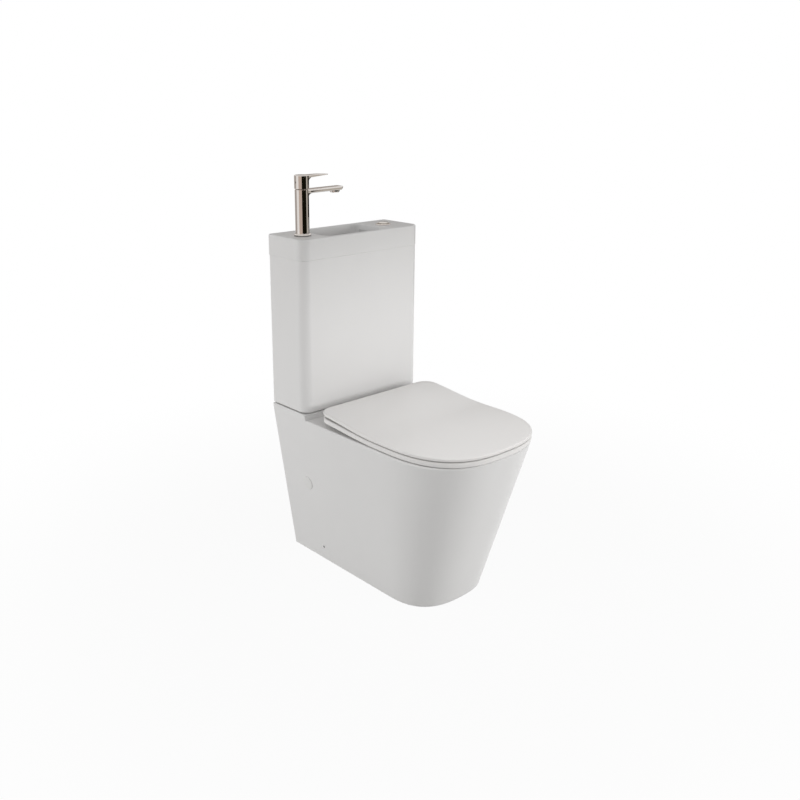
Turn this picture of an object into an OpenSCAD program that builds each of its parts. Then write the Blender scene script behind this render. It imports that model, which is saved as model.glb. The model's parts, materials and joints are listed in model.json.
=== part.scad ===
// Close-coupled, back-to-wall toilet with a hand basin in the lid of its cistern.
// Lengths are in millimetres. X runs to the right, Y towards the wall and Z upwards.
// A value called "reach" is a distance forwards from the wall.
// The origin lies on the floor, half way between the wall and the front of the seat.

/* [Overall] */
// Reach of the front of the seat lid, which is the depth of the whole toilet
seat_reach = 592; // [540:1:720]
// Height of the rim that the seat rests on
rim_h = 388; // [350:1:470]
// Width of the cistern lid, the widest piece
cistern_w = 370; // [340:1:450]
// Depth of the cistern lid
cistern_depth = 132; // [125:1:165]
// Height of the cistern tank without its lid
tank_h = 367; // [330:1:450]

/* [Pan] */
// Half width of the pan at the rim
pan_rim_half_w = 182; // [170:0.5:220]
// Half width of the pan at the floor
pan_base_half_w = 123; // [110:0.5:150]
// How far the front of the foot stands back from the front of the rim
pan_foot_setback = 116; // [80:1:150]
// Length of the curved front at the rim
pan_rim_curve = 190; // [150:1:220]
// Length of the curved front at the floor
pan_base_curve = 118; // [90:1:160]
// Squareness of the curved fronts, where 2 is an ellipse
front_power = 2.68; // [2:0.02:3.2]
// Thickness of the ceramic of the skirt
pan_wall = 12; // [9:0.5:15]
// Thickness of the ceramic deck at the rim
deck_t = 14; // [11:0.5:18]
// Radius of the edge of the rim
rim_edge_r = 5; // [3:0.5:8]
// Rise of the plinth that carries the cistern above the rim
plinth_rise = 14; // [10:0.5:20]
// Reach of the front face of the plinth
plinth_reach = 127; // [118:1:150]

/* [Bowl] */
// Width of the rim beside the bowl
rim_side_w = 48; // [40:0.5:60]
// Width of the rim in front of the bowl
rim_front_w = 34; // [28:0.5:45]
// Reach of the back of the bowl's mouth
bowl_back_reach = 214; // [205:1:230]
// Squareness of the bowl's mouth
bowl_power = 2.35; // [2:0.05:3]
// How quickly the bowl narrows, where more is a fuller bowl
bowl_fullness = 2.4; // [1.6:0.1:3]
// Half width of the bowl's floor
sump_half_w = 38; // [32:0.5:48]
// Reach of the back of the bowl's floor
sump_back_reach = 262; // [255:1:280]
// Length of the bowl's floor
sump_len = 84; // [70:1:100]
// Thickness of the ceramic of the bowl and its pipes
bowl_t = 9; // [7:0.5:11]

/* [Trap and outlet] */
// Bore of the trap
trap_bore = 54; // [48:1:62]
// Height of the middle of the trap's mouth
trap_entry_z = 113; // [100:1:125]
// Bend radius of the trap
trap_bend_r = 45; // [40:1:60]
// Length of the rising leg of the trap
trap_rise_len = 58; // [50:1:70]
// Height of the middle of the waste outlet
outlet_z = 180; // [170:1:190]
// Outside diameter of the outlet spigot
outlet_od = 102; // [96:0.5:104]
// Reach of the open end of the spigot
outlet_end_reach = 28; // [20:1:40]
// Length of the spigot
outlet_len = 82; // [70:1:95]
// Outside diameter of the connector's pipe at the wall
connector_od = 110; // [108:0.5:112]

/* [Flush inlet] */
// Reach of the cistern's outlet and of the bolts beside it
inlet_reach = 66; // [60:1:75]
// Bore of the flush inlet
inlet_bore = 64; // [56:1:70]
// Diameter of the recess for the sealing ring
inlet_recess_d = 96; // [90:1:104]
// Depth of that recess
inlet_recess_depth = 24; // [20:1:28]
// Width of the duct to the bowl
duct_w = 66; // [50:1:80]
// Height of the duct to the bowl
duct_h = 26; // [20:1:30]
// Drop from the rim to the roof of the duct
duct_drop = 16; // [12:1:22]

/* [Cistern] */
// Gap between plinth and tank, filled by the sealing ring
tank_gap = 2.2; // [1:0.1:4]
// How far the lid stands out past the tank on each side
lid_overhang = 1; // [0.5:0.1:3]
// Thickness of the ceramic of the tank
tank_wall = 10; // [8:0.5:12]
// Radius of the tank's two front corners
cistern_corner_r = 25; // [15:0.5:32]
// Radius of the two corners at the wall
cistern_back_r = 5; // [3:0.5:8]
// Radius of the tank's lower edges
tank_foot_r = 11; // [6:0.5:16]
// Height of the cistern lid
basin_lid_h = 49.5; // [42:0.5:60]
// Thickness of the lid's top
lid_top_t = 11; // [9:0.5:14]
// Radius of the lid's upper edges
lid_edge_r = 3; // [2:0.5:5]
// Depth that the lid's locating lip reaches into the tank
lip_depth = 8; // [5:0.5:12]

/* [Basin] */
// Left end of the basin's mouth
basin_left_x = -103; // [-110:1:-95]
// Right end of the basin's mouth
basin_right_x = 76; // [65:1:85]
// Width of the rim in front of and behind the basin
basin_rim_w = 11; // [9:0.5:14]
// Depth of the basin
basin_depth = 64; // [54:1:74]
// Run of the sloping right end of the basin
basin_slope_run = 34; // [20:1:45]
// Draft of the basin's other walls
basin_draft = 4; // [2:0.5:6]
// Radius of the basin's corners in plan
basin_corner_r = 22; // [15:1:30]
// Radius between the basin's walls and floor
basin_floor_r = 12; // [8:1:16]
// Thickness of the ceramic of the basin
basin_t = 8; // [6:0.5:9]
// Place of the basin's waste, to the right of the middle
waste_x = -44; // [-55:1:-25]
// Diameter of the waste's flange
waste_flange_d = 44; // [38:1:50]
// Outside diameter of the waste's tail
waste_tail_d = 31; // [26:0.5:34]
// How far the tail reaches below the basin
waste_tail_len = 42; // [35:1:55]

/* [Tap] */
// Place of the tap, to the right of the middle
tap_x = -140; // [-146:1:-134]
// Reach of the tap
tap_reach = 76; // [60:1:90]
// Diameter of the tap's body
tap_d = 32.6; // [30:0.2:38]
// Diameter of the flange at the tap's foot
tap_flange_d = 40; // [38:0.5:46]
// Height of that flange
tap_flange_h = 4; // [3:0.5:6]
// Height of the shoulder where the body ends and the handle begins
tap_shoulder_h = 106; // [95:1:125]
// Height of the top of the handle
tap_h = 139; // [128:1:160]
// Distance from the tap's axis to the tip of the spout
spout_reach = 119; // [105:1:135]
// Width of the spout
spout_w = 29; // [24:0.5:32]
// Height of the spout's upper face
spout_top_h = 104; // [94:1:115]
// Thickness of the spout near its tip
spout_t = 9; // [8:0.5:12]
// Distance from the tap's axis to the middle of the aerator
aerator_offset = 97; // [85:1:105]
// Diameter of the aerator
aerator_d = 21; // [18:0.5:24]
// Distance from the tap's axis to the tip of the lever
lever_reach = 76; // [65:1:90]
// Width of the lever where it leaves the handle
lever_root_w = 24; // [18:0.5:28]
// Width of the lever near its tip
lever_tip_w = 15; // [12:0.5:20]
// Thickness of the lever
lever_t = 4.6; // [3.5:0.1:6]
// How far the lever droops at its tip
lever_droop = 4.5; // [2:0.5:8]
// Height of the pivot that the lever lifts about
lever_pivot_h = 84; // [78:1:90]
// Diameter of the hole for the tap
tap_hole_d = 35; // [32:0.5:36]

/* [Flush buttons] */
// Place of the flush buttons, to the right of the middle
button_x = 120; // [114:1:126]
// Reach of the flush buttons
button_reach = 68; // [60:1:76]
// Diameter of the ring round the buttons
button_ring_d = 39; // [38:0.5:46]
// Height of the ring above the lid
button_ring_h = 2.2; // [1.5:0.1:4]
// Diameter of the pair of buttons
button_d = 28; // [24:0.5:30]
// Height of the middle of the buttons above the lid
button_rise = 6.5; // [5:0.5:8]
// Travel of a button
button_travel = 5; // [3:0.5:6]
// Outside diameter of the threaded barrel under the ring
button_barrel_d = 34; // [32.5:0.5:36]
// Length of that barrel
button_barrel_len = 44; // [36:1:50]

/* [Seat] */
// Reach of the back edge of the seat and its lid
seat_back_reach = 168; // [160:1:176]
// Half width of the seat and its lid
seat_half_w = 181; // [168:0.5:200]
// Length of the curved front of the seat
seat_curve = 192; // [160:1:220]
// Radius of the seat's back corners
seat_corner_r = 34; // [24:1:45]
// Thickness of the seat at its front
seat_t = 11.5; // [9:0.5:14]
// Extra thickness of the seat at its back
seat_back_extra = 4; // [2:0.5:6]
// Thickness of the seat lid at its edge
cover_t = 7; // [6:0.5:9]
// Gap between seat and seat lid
cover_gap = 2.5; // [1.5:0.1:4]
// Gap between rim and seat
seat_gap = 1.6; // [1:0.1:4]
// How much higher the seat lid's back is than its front
saddle_rise = 15.2; // [5:0.2:20]
// Reach at which the seat lid begins to rise
saddle_start = 370; // [320:1:420]
// Length of the wave over which it rises
saddle_len = 210; // [160:1:230]
// Half width of the opening in the seat
seat_hole_half_w = 108; // [95:1:118]
// Reach of the back of the opening in the seat
seat_hole_back = 252; // [235:1:270]
// Width of the seat in front of its opening
seat_front_w = 58; // [48:1:72]

/* [Seat hinge] */
// Half the distance between the two hinge posts
hinge_half_span = 77.5; // [70:0.5:85]
// Reach of the hinge axis
hinge_reach = 183; // [180:1:188]
// Height of the hinge axis above the rim
hinge_h = 20; // [18:0.5:24]
// Diameter of the hinge pins
hinge_pin_d = 9; // [7:0.5:10]
// Diameter of the hinge posts
hinge_post_d = 15; // [12:0.5:17]
// Play round a turning pin, on the radius
pin_play = 0.05; // [0.02:0.01:0.1]

/* [Fixings] */
// Half the distance between the bolts that join cistern and pan
bolt_half_span = 76; // [72:0.5:84]
// Diameter of those bolts
bolt_d = 8; // [6:0.5:10]
// Diameter of the round caps on the pan's sides
side_cap_d = 36; // [30:0.5:42]
// Reach of those caps
side_cap_reach = 97; // [90:1:105]
// Height of those caps
side_cap_z = 211; // [190:1:230]
// Reach of the small screws near the floor
side_screw_reach = 124; // [115:1:150]
// Height of the small screws near the floor
side_screw_z = 37; // [30:1:48]
// Diameter of their holes
side_screw_hole_d = 7; // [6:0.2:9]
// Half the distance between the floor screws
floor_fix_half_span = 88; // [80:1:94]
// Diameter of the hole for a floor screw
floor_hole_d = 9; // [7:0.5:10]

/* [Cistern fittings] */
// Place of the fill valve, to the right of the middle
fill_valve_x = -122; // [-128:1:-116]
// Diameter of the fill valve's threaded inlet
fill_inlet_d = 20.6; // [20:0.1:21.5]
// Height of the fill valve above the tank's floor
fill_valve_h = 228; // [200:1:260]
// Diameter of the float
float_d = 62; // [54:1:68]
// Height of the float
float_h = 58; // [46:1:66]
// Travel of the float
float_travel = 12; // [8:0.5:16]
// Diameter of the flush valve's cage
cage_d = 66; // [60:1:72]
// Height of the flush valve's cage
cage_h = 150; // [120:1:170]
// Diameter of the overflow tube
overflow_d = 24; // [20:0.5:30]
// Height of the overflow tube above the tank's floor
overflow_h = 232; // [210:1:260]
// Lift of the flush valve
flush_lift = 12; // [8:0.5:18]
// Diameter of the hose to the tap
hose_d = 11; // [9:0.5:13]

/* [Hidden] */
$fn = 72;

curve_steps = 12;   // steps along each side of a curved front
side_steps = 7;     // steps along a straight side that follows the seat's wave
slack = 1;          // how far a cutter runs past the face that it cuts
sheet = 0.3;        // gap between pieces that lie beside each other
wall_y = seat_reach / 2;
plinth_top = rim_h + plinth_rise;
tank_z = plinth_top + tank_gap;
tank_floor_z = tank_z + tank_wall;
tank_top = tank_z + tank_h;
lid_top = tank_top + basin_lid_h;
tank_half_w = cistern_w / 2 - lid_overhang;
tank_back = lid_overhang;
tank_front = cistern_depth - lid_overhang;

ceramic = [0.93, 0.93, 0.92];
chrome = [0.75, 0.73, 0.71];
brass = [0.80, 0.68, 0.38];
steel = [0.70, 0.71, 0.72];
white_plastic = [0.95, 0.95, 0.94];
grey_plastic = [0.62, 0.64, 0.66];
blue_plastic = [0.30, 0.48, 0.68];
black_rubber = [0.12, 0.12, 0.13];
soft_rubber = [0.80, 0.80, 0.79];

// ---- Small helpers ----

function lerp(a, b, t) = a + (b - a) * t;

module at(x, reach, z) {
  translate([x, wall_y - reach, z]) children();
}

module pair() {
  children();
  mirror([1, 0, 0]) children();
}

module tube(d, bore, h) {
  difference() {
    cylinder(d = d, h = h);
    translate([0, 0, -slack]) cylinder(d = bore, h = h + 2 * slack);
  }
}

// A hexagon whose width across its flats is "flats".
module hex(flats, h) {
  cylinder(d = flats / cos(30), h = h, $fn = 6);
}

module hex_nut(flats, bore, h) {
  difference() {
    hex(flats, h);
    translate([0, 0, -slack]) cylinder(d = bore, h = h + 2 * slack);
  }
}

// A cylinder that lies across, along X.
module cross_rod(d, x_from, x_to) {
  translate([x_from, 0, 0]) rotate([0, 90, 0]) cylinder(d = d, h = x_to - x_from);
}

// A cylinder that runs from the wall side forwards, along Y.
module reach_rod(x, z, d, reach_from, reach_to) {
  at(x, reach_to, z) rotate([-90, 0, 0]) cylinder(d = d, h = reach_to - reach_from);
}

// ---- Plan outlines: half of one, as points of [x, reach] from the back to the front ----

// Straight back and sides, round back corners and a superelliptic front.
function seat_plan(half_w, back, corner_r, curve, front) = concat(
  corner_r > 0
    ? concat(
      [for (a = [0:15:90]) [half_w - corner_r * (1 - sin(a)), back + corner_r * (1 - cos(a))]],
      [for (i = [1:side_steps - 1]) [half_w, lerp(back + corner_r, front - curve, i / side_steps)]])
    : [[half_w, back]],
  [for (i = [0:curve_steps]) let (a = 90 * i / curve_steps)
    [half_w * pow(cos(a), 2 / front_power), front - curve * (1 - pow(sin(a), 2 / front_power))]]
);

// A closed oval, flat for a short stretch at its back.
function oval_plan(half_w, back, front) =
  let (middle = (back + front) / 2, half_len = (front - back) / 2)
  [for (a = [-78:12:90])
    [half_w * pow(cos(a), 2 / bowl_power),
    middle + sign(a) * half_len * pow(abs(sin(a)) / (a < 0 ? sin(78) : 1), 2 / bowl_power)]];

// ---- Lofted solids: rings of points, each a half outline and its mirror image ----

function full_plan(half) = concat(half, [for (i = [len(half) - 2:-1:0]) [-half[i][0], half[i][1]]]);

// A level ring at height z.
function level_ring(half, z) = [for (p = full_plan(half)) [p[0], wall_y - p[1], z]];

// How far the seat lid's back rises above its front, at a reach.
function seat_wave(reach) =
  let (u = min(1, max(0, (saddle_start - reach) / saddle_len)))
  saddle_rise * (1 - cos(180 * u)) / 2;

// A ring at height z that follows a share of the seat lid's wave.
function wave_ring(half, z, share) =
  [for (p = full_plan(half)) [p[0], wall_y - p[1], z + share * seat_wave(p[1])]];

function flatten(lists) = [for (list = lists) for (item = list) item];

function side_faces(n, k, next) = flatten([for (i = [0:n - 1]) let (j = (i + 1) % n)
  [[k * n + i, k * n + j, next * n + j], [k * n + i, next * n + j, next * n + i]]]);

// Strips from side to side that close a ring, whose front point is shared.
function cap_strips(n, first, flip) =
  let (half = (n - 1) / 2)
  [for (i = [0:half - 1])
    let (strip = i < half - 1
      ? [first + i, first + i + 1, first + n - 2 - i, first + n - 1 - i]
      : [first + i, first + half, first + n - 1 - i])
    flip ? [for (k = [len(strip) - 1:-1:0]) strip[k]] : strip];

// A solid skinned from the lowest ring to the highest.
module skin(rings) {
  n = len(rings[0]);
  top = len(rings) - 1;
  polyhedron(
    points = flatten(rings),
    faces = concat(
      cap_strips(n, 0, true),
      flatten([for (k = [0:top - 1]) side_faces(n, k, k + 1)]),
      cap_strips(n, top * n, false)),
    convexity = 6);
}

// A closed ring skinned round its cross-section.
module skin_ring(rings) {
  n = len(rings[0]);
  count = len(rings);
  polyhedron(
    points = flatten(rings),
    faces = flatten([for (k = [0:count - 1]) side_faces(n, k, (k + 1) % count)]),
    convexity = 8);
}

// ---- Rectangular ceramic blocks with true round corners ----

// Cuts a round of radius r at the corner of a shape that lies to the upper right.
module corner_cut(r) {
  difference() {
    translate([-slack, -slack]) square(r + slack);
    translate([r, r]) circle(r);
  }
}

// A rectangle from [x0, y0] to [x1, y1] whose lower and upper corners have their own radii.
module soft_square(x0, y0, x1, y1, r_low, r_high) {
  difference() {
    translate([x0, y0]) square([x1 - x0, y1 - y0]);
    if (r_low > 0) {
      translate([x0, y0]) corner_cut(r_low);
      translate([x1, y0]) mirror([1, 0]) corner_cut(r_low);
    }
    if (r_high > 0) {
      translate([x0, y1]) mirror([0, 1]) corner_cut(r_high);
      translate([x1, y1]) mirror([1, 0]) mirror([0, 1]) corner_cut(r_high);
    }
  }
}

// A block with upright corners of two radii, and rounded lower and upper edges.
module soft_block(half_w, back, front, z_low, z_high, r_front, r_back, r_low, r_high) {
  intersection() {
    translate([0, 0, z_low]) linear_extrude(z_high - z_low)
      soft_square(-half_w, wall_y - front, half_w, wall_y - back, r_front, r_back);
    translate([0, wall_y - back, 0]) rotate([90, 0, 0]) linear_extrude(front - back)
      soft_square(-half_w, z_low, half_w, z_high, r_low, r_high);
    rotate([90, 0, 90]) translate([0, 0, -half_w]) linear_extrude(2 * half_w)
      soft_square(wall_y - front, z_low, wall_y - back, z_high, r_low, r_high);
  }
}

// ---- Pipes drawn as a train of straight runs and bends, each starting where the last ends ----

bend_step = 0.3;    // how much wider a bend is than its straight runs, on the radius
bend_lap = 0.5;     // how far a straight run reaches into the bends at its ends

module run(r, length) {
  translate([0, 0, -bend_lap]) cylinder(r = r, h = length + 2 * bend_lap);
  translate([0, 0, length]) children();
}

module bend(r, bend_r, angle) {
  translate([0, -bend_r, 0]) rotate([90, 0, 90])
    rotate_extrude(angle = angle) translate([bend_r, 0]) circle(r + bend_step);
}

module bend_up(r, bend_r, angle) {
  bend(r, bend_r, angle);
  translate([0, -bend_r * (1 - cos(angle)), bend_r * sin(angle)]) rotate([angle, 0, 0]) children();
}

module bend_down(r, bend_r, angle) {
  mirror([0, 1, 0]) bend(r, bend_r, angle);
  translate([0, bend_r * (1 - cos(angle)), bend_r * sin(angle)]) rotate([-angle, 0, 0]) children();
}

// ---- Pan ----

function pan_half_w(z) = lerp(pan_base_half_w, pan_rim_half_w, z / rim_h);
pan_rim_reach = seat_reach - 3;
pan_foot_reach = pan_rim_reach - pan_foot_setback;
wall_lean = atan((pan_rim_half_w - pan_base_half_w) / rim_h);

function pan_plan(z, back, inset) = seat_plan(
  pan_half_w(z) - inset, back, 0,
  lerp(pan_base_curve, pan_rim_curve, z / rim_h) - inset,
  lerp(pan_foot_reach, pan_rim_reach, z / rim_h) - inset);

// The plinth's cross-section, whose sides carry on the lean of the pan's sides.
module plinth_section(z_low, z_high, inset) {
  polygon([
    [-pan_half_w(z_low) + inset, z_low], [pan_half_w(z_low) - inset, z_low],
    [pan_half_w(z_high) - inset, z_high], [-pan_half_w(z_high) + inset, z_high]
  ]);
}

module plinth_block(z_low, z_high, inset, reach_from, reach_to) {
  translate([0, wall_y - reach_from, 0]) rotate([90, 0, 0])
    linear_extrude(reach_to - reach_from) plinth_section(z_low, z_high, inset);
}

sump_z = trap_entry_z - trap_bore / 2 - 1;
bowl_half_w = pan_rim_half_w - rim_side_w;
bowl_front_reach = pan_rim_reach - rim_front_w;

// The bowl, or the outside of its wall where "grow" is the wall's thickness.
module bowl_form(grow, top) {
  levels = [for (t = [0, 0.14, 0.28, 0.42, 0.56, 0.7, 0.82, 0.92, 1]) t];
  skin([for (i = [len(levels) - 1:-1:0])
    let (t = levels[i], s = 1 - pow(t, bowl_fullness))
    level_ring(
      oval_plan(
        lerp(sump_half_w, bowl_half_w, s) + grow,
        lerp(sump_back_reach, bowl_back_reach, s) - grow,
        lerp(sump_back_reach + sump_len, bowl_front_reach, s) + grow),
      lerp(top, sump_z - grow, t))]);
}

// The trap and outlet, or the outside of their walls.
module trap_form(grow, spigot_from) {
  trap_r = trap_bore / 2 + grow;
  descent = 85;
  rise = 60;
  at(0, sump_back_reach + 38, trap_entry_z) rotate([-90, 0, 0])
    run(trap_r, 38)
      bend_up(trap_r, trap_bend_r, rise)
        run(trap_r, trap_rise_len)
          bend_down(trap_r, trap_bend_r, descent)
            run(trap_r, 44);
  reach_rod(0, outlet_z, outlet_od - 2 * bowl_t + 2 * grow,
    spigot_from, outlet_end_reach + outlet_len + grow - bowl_t);
}

// The duct from the cistern's outlet to the back of the bowl.
module duct_form(grow, reach_to) {
  duct_z = rim_h - duct_drop - duct_h / 2;
  at(0, inlet_reach, duct_z) rotate([90, 0, 0]) linear_extrude(reach_to - inlet_reach) {
    square([duct_w - duct_h, duct_h + 2 * grow], center = true);
    for (side = [-1, 1]) translate([side * (duct_w - duct_h) / 2, 0]) circle(d = duct_h + 2 * grow);
  }
}

module side_hole(reach, z, d, depth) {
  at(pan_half_w(z), reach, z) rotate([0, 90 + wall_lean, 0])
    translate([0, 0, -depth]) cylinder(d = d, h = depth + 4);
}

module pan_hollow() {
  ceiling = rim_h - deck_t;
  skin([
    level_ring(pan_plan(-slack, -slack, pan_wall), -slack),
    level_ring(pan_plan(ceiling, -slack, pan_wall), ceiling)
  ]);
  plinth_block(ceiling - slack, plinth_top - deck_t, pan_wall, -slack, plinth_reach - pan_wall);
}

module pan_outside() {
  foot_r = 2;
  skin(concat(
    [level_ring(pan_plan(0, 0, foot_r), 0), level_ring(pan_plan(foot_r, 0, 0), foot_r)],
    [for (a = [0:30:90]) level_ring(
      pan_plan(rim_h - rim_edge_r * (1 - sin(a)), 0, rim_edge_r * (1 - cos(a))),
      rim_h - rim_edge_r * (1 - sin(a)))]));
  plinth_block(rim_h - 2 * rim_edge_r, plinth_top, 0, 0, plinth_reach);
}

inlet_floor_z = plinth_top - inlet_recess_depth;
duct_roof_z = rim_h - duct_drop;
boss_d = inlet_recess_d + 2 * bowl_t;

// Every waterway and hole in the pan.
module pan_openings() {
  bowl_form(0, rim_h + slack);
  trap_form(0, outlet_end_reach - slack);
  duct_form(0, bowl_back_reach + 12);
  at(0, inlet_reach, inlet_floor_z) cylinder(d = inlet_recess_d, h = inlet_recess_depth + slack);
  at(0, inlet_reach, duct_roof_z - duct_h) cylinder(d = inlet_bore, h = duct_h + inlet_floor_z);
  pair() at(bolt_half_span, inlet_reach, rim_h - deck_t) cylinder(d = bolt_d + 4, h = 3 * deck_t);
  at(fill_valve_x, inlet_reach, rim_h - deck_t) cylinder(d = 44, h = 3 * deck_t);
  pair() at(hinge_half_span, hinge_reach, rim_h - 2 * deck_t) cylinder(d = 14, h = 3 * deck_t);
  pair() side_hole(side_cap_reach, side_cap_z, side_cap_d - 3, 3 * pan_wall);
  pair() side_hole(side_screw_reach, side_screw_z, side_screw_hole_d, 6);
  pair() side_hole(side_screw_reach, side_screw_z, side_screw_hole_d - 2, 3 * pan_wall);
}

module pan_shell() {
  difference() {
    pan_outside();
    pan_hollow();
  }
}

// One casting, in four nodes that meet face to face.
module pan() {
  color(ceramic) difference() {
    pan_shell();
    pan_openings();
  }
}

module pan_bowl() {
  color(ceramic) difference() {
    bowl_form(bowl_t, rim_h - deck_t);
    pan_shell();
    pan_openings();
  }
}

module pan_trap() {
  color(ceramic) difference() {
    trap_form(bowl_t, outlet_end_reach);
    bowl_form(bowl_t, rim_h - deck_t);
    trap_form(0, outlet_end_reach - slack);
  }
}

module pan_duct() {
  color(ceramic) difference() {
    union() {
      duct_form(bowl_t, bowl_back_reach);
      at(0, inlet_reach, duct_roof_z - duct_h - bowl_t)
        cylinder(d = boss_d, h = plinth_top - slack - duct_roof_z + duct_h + bowl_t);
    }
    pan_shell();
    bowl_form(bowl_t, rim_h - deck_t);
    pan_openings();
  }
}

module side_cap() {
  dome_h = 1.8;
  at(pan_half_w(side_cap_z), side_cap_reach, side_cap_z) rotate([0, 90 + wall_lean, 0]) {
    translate([0, 0, 0.05]) cylinder(d1 = side_cap_d, d2 = side_cap_d - 2, h = dome_h);
    translate([0, 0, -pan_wall - 2]) tube(side_cap_d - 3.6, side_cap_d - 8, pan_wall + 2.5);
  }
}

module side_caps() {
  color(white_plastic) pair() side_cap();
}

module side_screw() {
  at(pan_half_w(side_screw_z), side_screw_reach, side_screw_z) rotate([0, 90 + wall_lean, 0]) {
    translate([0, 0, -6]) cylinder(d = side_screw_hole_d - 0.6, h = 3);
    translate([0, 0, -31]) cylinder(d = side_screw_hole_d - 2.4, h = 26);
  }
}

module side_screws() {
  color(steel) pair() side_screw();
}

bracket_face_x = pan_half_w(side_screw_z) - 22;

module floor_bracket() {
  plate_t = 5;
  width = 32;
  base_len = 38;
  upright_h = 56;
  difference() {
    at(bracket_face_x - base_len, side_screw_reach + width / 2, 0) union() {
      cube([base_len, width, plate_t]);
      translate([base_len - plate_t, 0, 0]) cube([plate_t, width, upright_h]);
      for (side = [0, width - 4]) translate([0, side + 4, plate_t - 1]) rotate([90, 0, 0])
        linear_extrude(4) polygon([[base_len - 26, 0], [base_len - 1, 0], [base_len - 1, 40]]);
    }
    at(floor_fix_half_span, side_screw_reach, -slack) cylinder(d = floor_hole_d, h = plate_t + 2 * slack);
    at(pan_half_w(side_screw_z), side_screw_reach, side_screw_z) rotate([0, 90 + wall_lean, 0])
      translate([0, 0, -60]) cylinder(d = side_screw_hole_d - 2.2, h = 50);
  }
}

module floor_brackets() {
  color(white_plastic) pair() floor_bracket();
}

socket_reach = outlet_end_reach + 38;
socket_bore = outlet_od + 3;

module outlet_connector() {
  stop_reach = outlet_end_reach - 2;
  color(white_plastic) difference() {
    union() {
      reach_rod(0, outlet_z, connector_od, 0, stop_reach + slack);
      reach_rod(0, outlet_z, socket_bore + 8, stop_reach - 4, socket_reach);
    }
    reach_rod(0, outlet_z, connector_od - 8, -slack, stop_reach);
    reach_rod(0, outlet_z, socket_bore, stop_reach, socket_reach + slack);
  }
}

module outlet_seal() {
  color(black_rubber) difference() {
    reach_rod(0, outlet_z, socket_bore - 0.1, socket_reach - 18, socket_reach - 4);
    reach_rod(0, outlet_z, outlet_od + 0.1, socket_reach - 19, socket_reach - 3);
  }
}

// ---- Cistern tank and what joins it to the pan ----

shank_d = inlet_bore - 6;
inner_corner_r = max(2, cistern_corner_r - lid_overhang - tank_wall);
flush_nut_h = 9;

module cistern_tank() {
  inner_floor_r = 6;
  color(ceramic) difference() {
    soft_block(tank_half_w, tank_back, tank_front, tank_z, tank_top,
      cistern_corner_r - lid_overhang, cistern_back_r, tank_foot_r, 0);
    soft_block(tank_half_w - tank_wall, tank_back + tank_wall, tank_front - tank_wall,
      tank_floor_z, tank_top + slack, inner_corner_r, 3, inner_floor_r, 0);
    at(0, inlet_reach, tank_z - slack) cylinder(d = shank_d + 3, h = tank_wall + 2 * slack);
    pair() at(bolt_half_span, inlet_reach, tank_z - slack)
      cylinder(d = bolt_d + 3, h = tank_wall + 2 * slack);
    at(fill_valve_x, inlet_reach, tank_z - slack)
      cylinder(d = fill_shank_d + 2, h = tank_wall + 2 * slack);
  }
}

// The soft ring between tank and pan, whose upper part houses the flush valve's nut.
module sealing_ring() {
  color(black_rubber) at(0, inlet_reach, inlet_floor_z) difference() {
    cylinder(d = inlet_recess_d - 1, h = inlet_recess_depth + tank_gap);
    translate([0, 0, -slack]) cylinder(d = inlet_bore - 8, h = inlet_recess_depth + 9);
    translate([0, 0, inlet_recess_depth + tank_gap - flush_nut_h - 3])
      cylinder(d = shank_d + 26, h = flush_nut_h + 9);
  }
}

coupling_washer_t = 5;
coupling_head_h = 5;

module coupling_bolts() {
  shank_low = rim_h - 22;
  color(brass) pair() at(bolt_half_span, inlet_reach, 0) {
    translate([0, 0, shank_low])
      cylinder(d = bolt_d, h = tank_floor_z + coupling_washer_t + slack - shank_low);
    translate([0, 0, tank_floor_z + coupling_washer_t]) hex(16, coupling_head_h);
  }
}

module coupling_washers() {
  color(black_rubber) pair() at(bolt_half_span, inlet_reach, tank_floor_z)
    tube(26, bolt_d + 0.4, coupling_washer_t);
}

// Wing nuts, each with its plate washer, under the plinth.
module coupling_nuts() {
  nut_h = 11;
  plate_t = 2;
  color(white_plastic) pair() at(bolt_half_span, inlet_reach, plinth_top - deck_t) {
    translate([0, 0, -plate_t]) tube(26, bolt_d + 0.4, plate_t);
    translate([0, 0, -plate_t - nut_h]) difference() {
      union() {
        cylinder(d = 16, h = nut_h + slack / 2);
        translate([-3, -13, 0]) cube([6, 26, nut_h - 2]);
      }
      translate([0, 0, -slack]) cylinder(d = bolt_d + 0.4, h = nut_h + 3 * slack);
    }
  }
}

// ---- Cistern lid with its basin ----

basin_floor_z = lid_top - basin_depth;

function arc(x, z, r, from, to) = [for (i = [0:6]) let (a = lerp(from, to, i / 6))
  [x + r * cos(a), z + r * sin(a)]];

// The basin's long section: an upright left wall, a level floor and a sloping right end.
module basin_long_section(grow, top) {
  r_left = basin_floor_r + grow;
  r_right = 20 + grow;
  slope = atan(basin_depth / basin_slope_run);
  floor_z = basin_floor_z - grow;
  left = basin_left_x - grow;
  right = basin_right_x + grow;
  foot = right - basin_slope_run - r_right * tan(slope / 2);
  polygon(concat(
    [[left, top]],
    arc(left + basin_draft + r_left, floor_z + r_left, r_left, 180, 270),
    arc(foot, floor_z + r_right, r_right, 270, 270 + slope),
    [[right, lid_top], [right, top]]));
}

lip_play = 1.5;
// How fast the basin's front and back walls lean in, so that they pass the tank's walls.
basin_lean = (lid_overhang + tank_wall + lip_play + slack + basin_t - basin_rim_w) / basin_lid_h;

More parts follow.
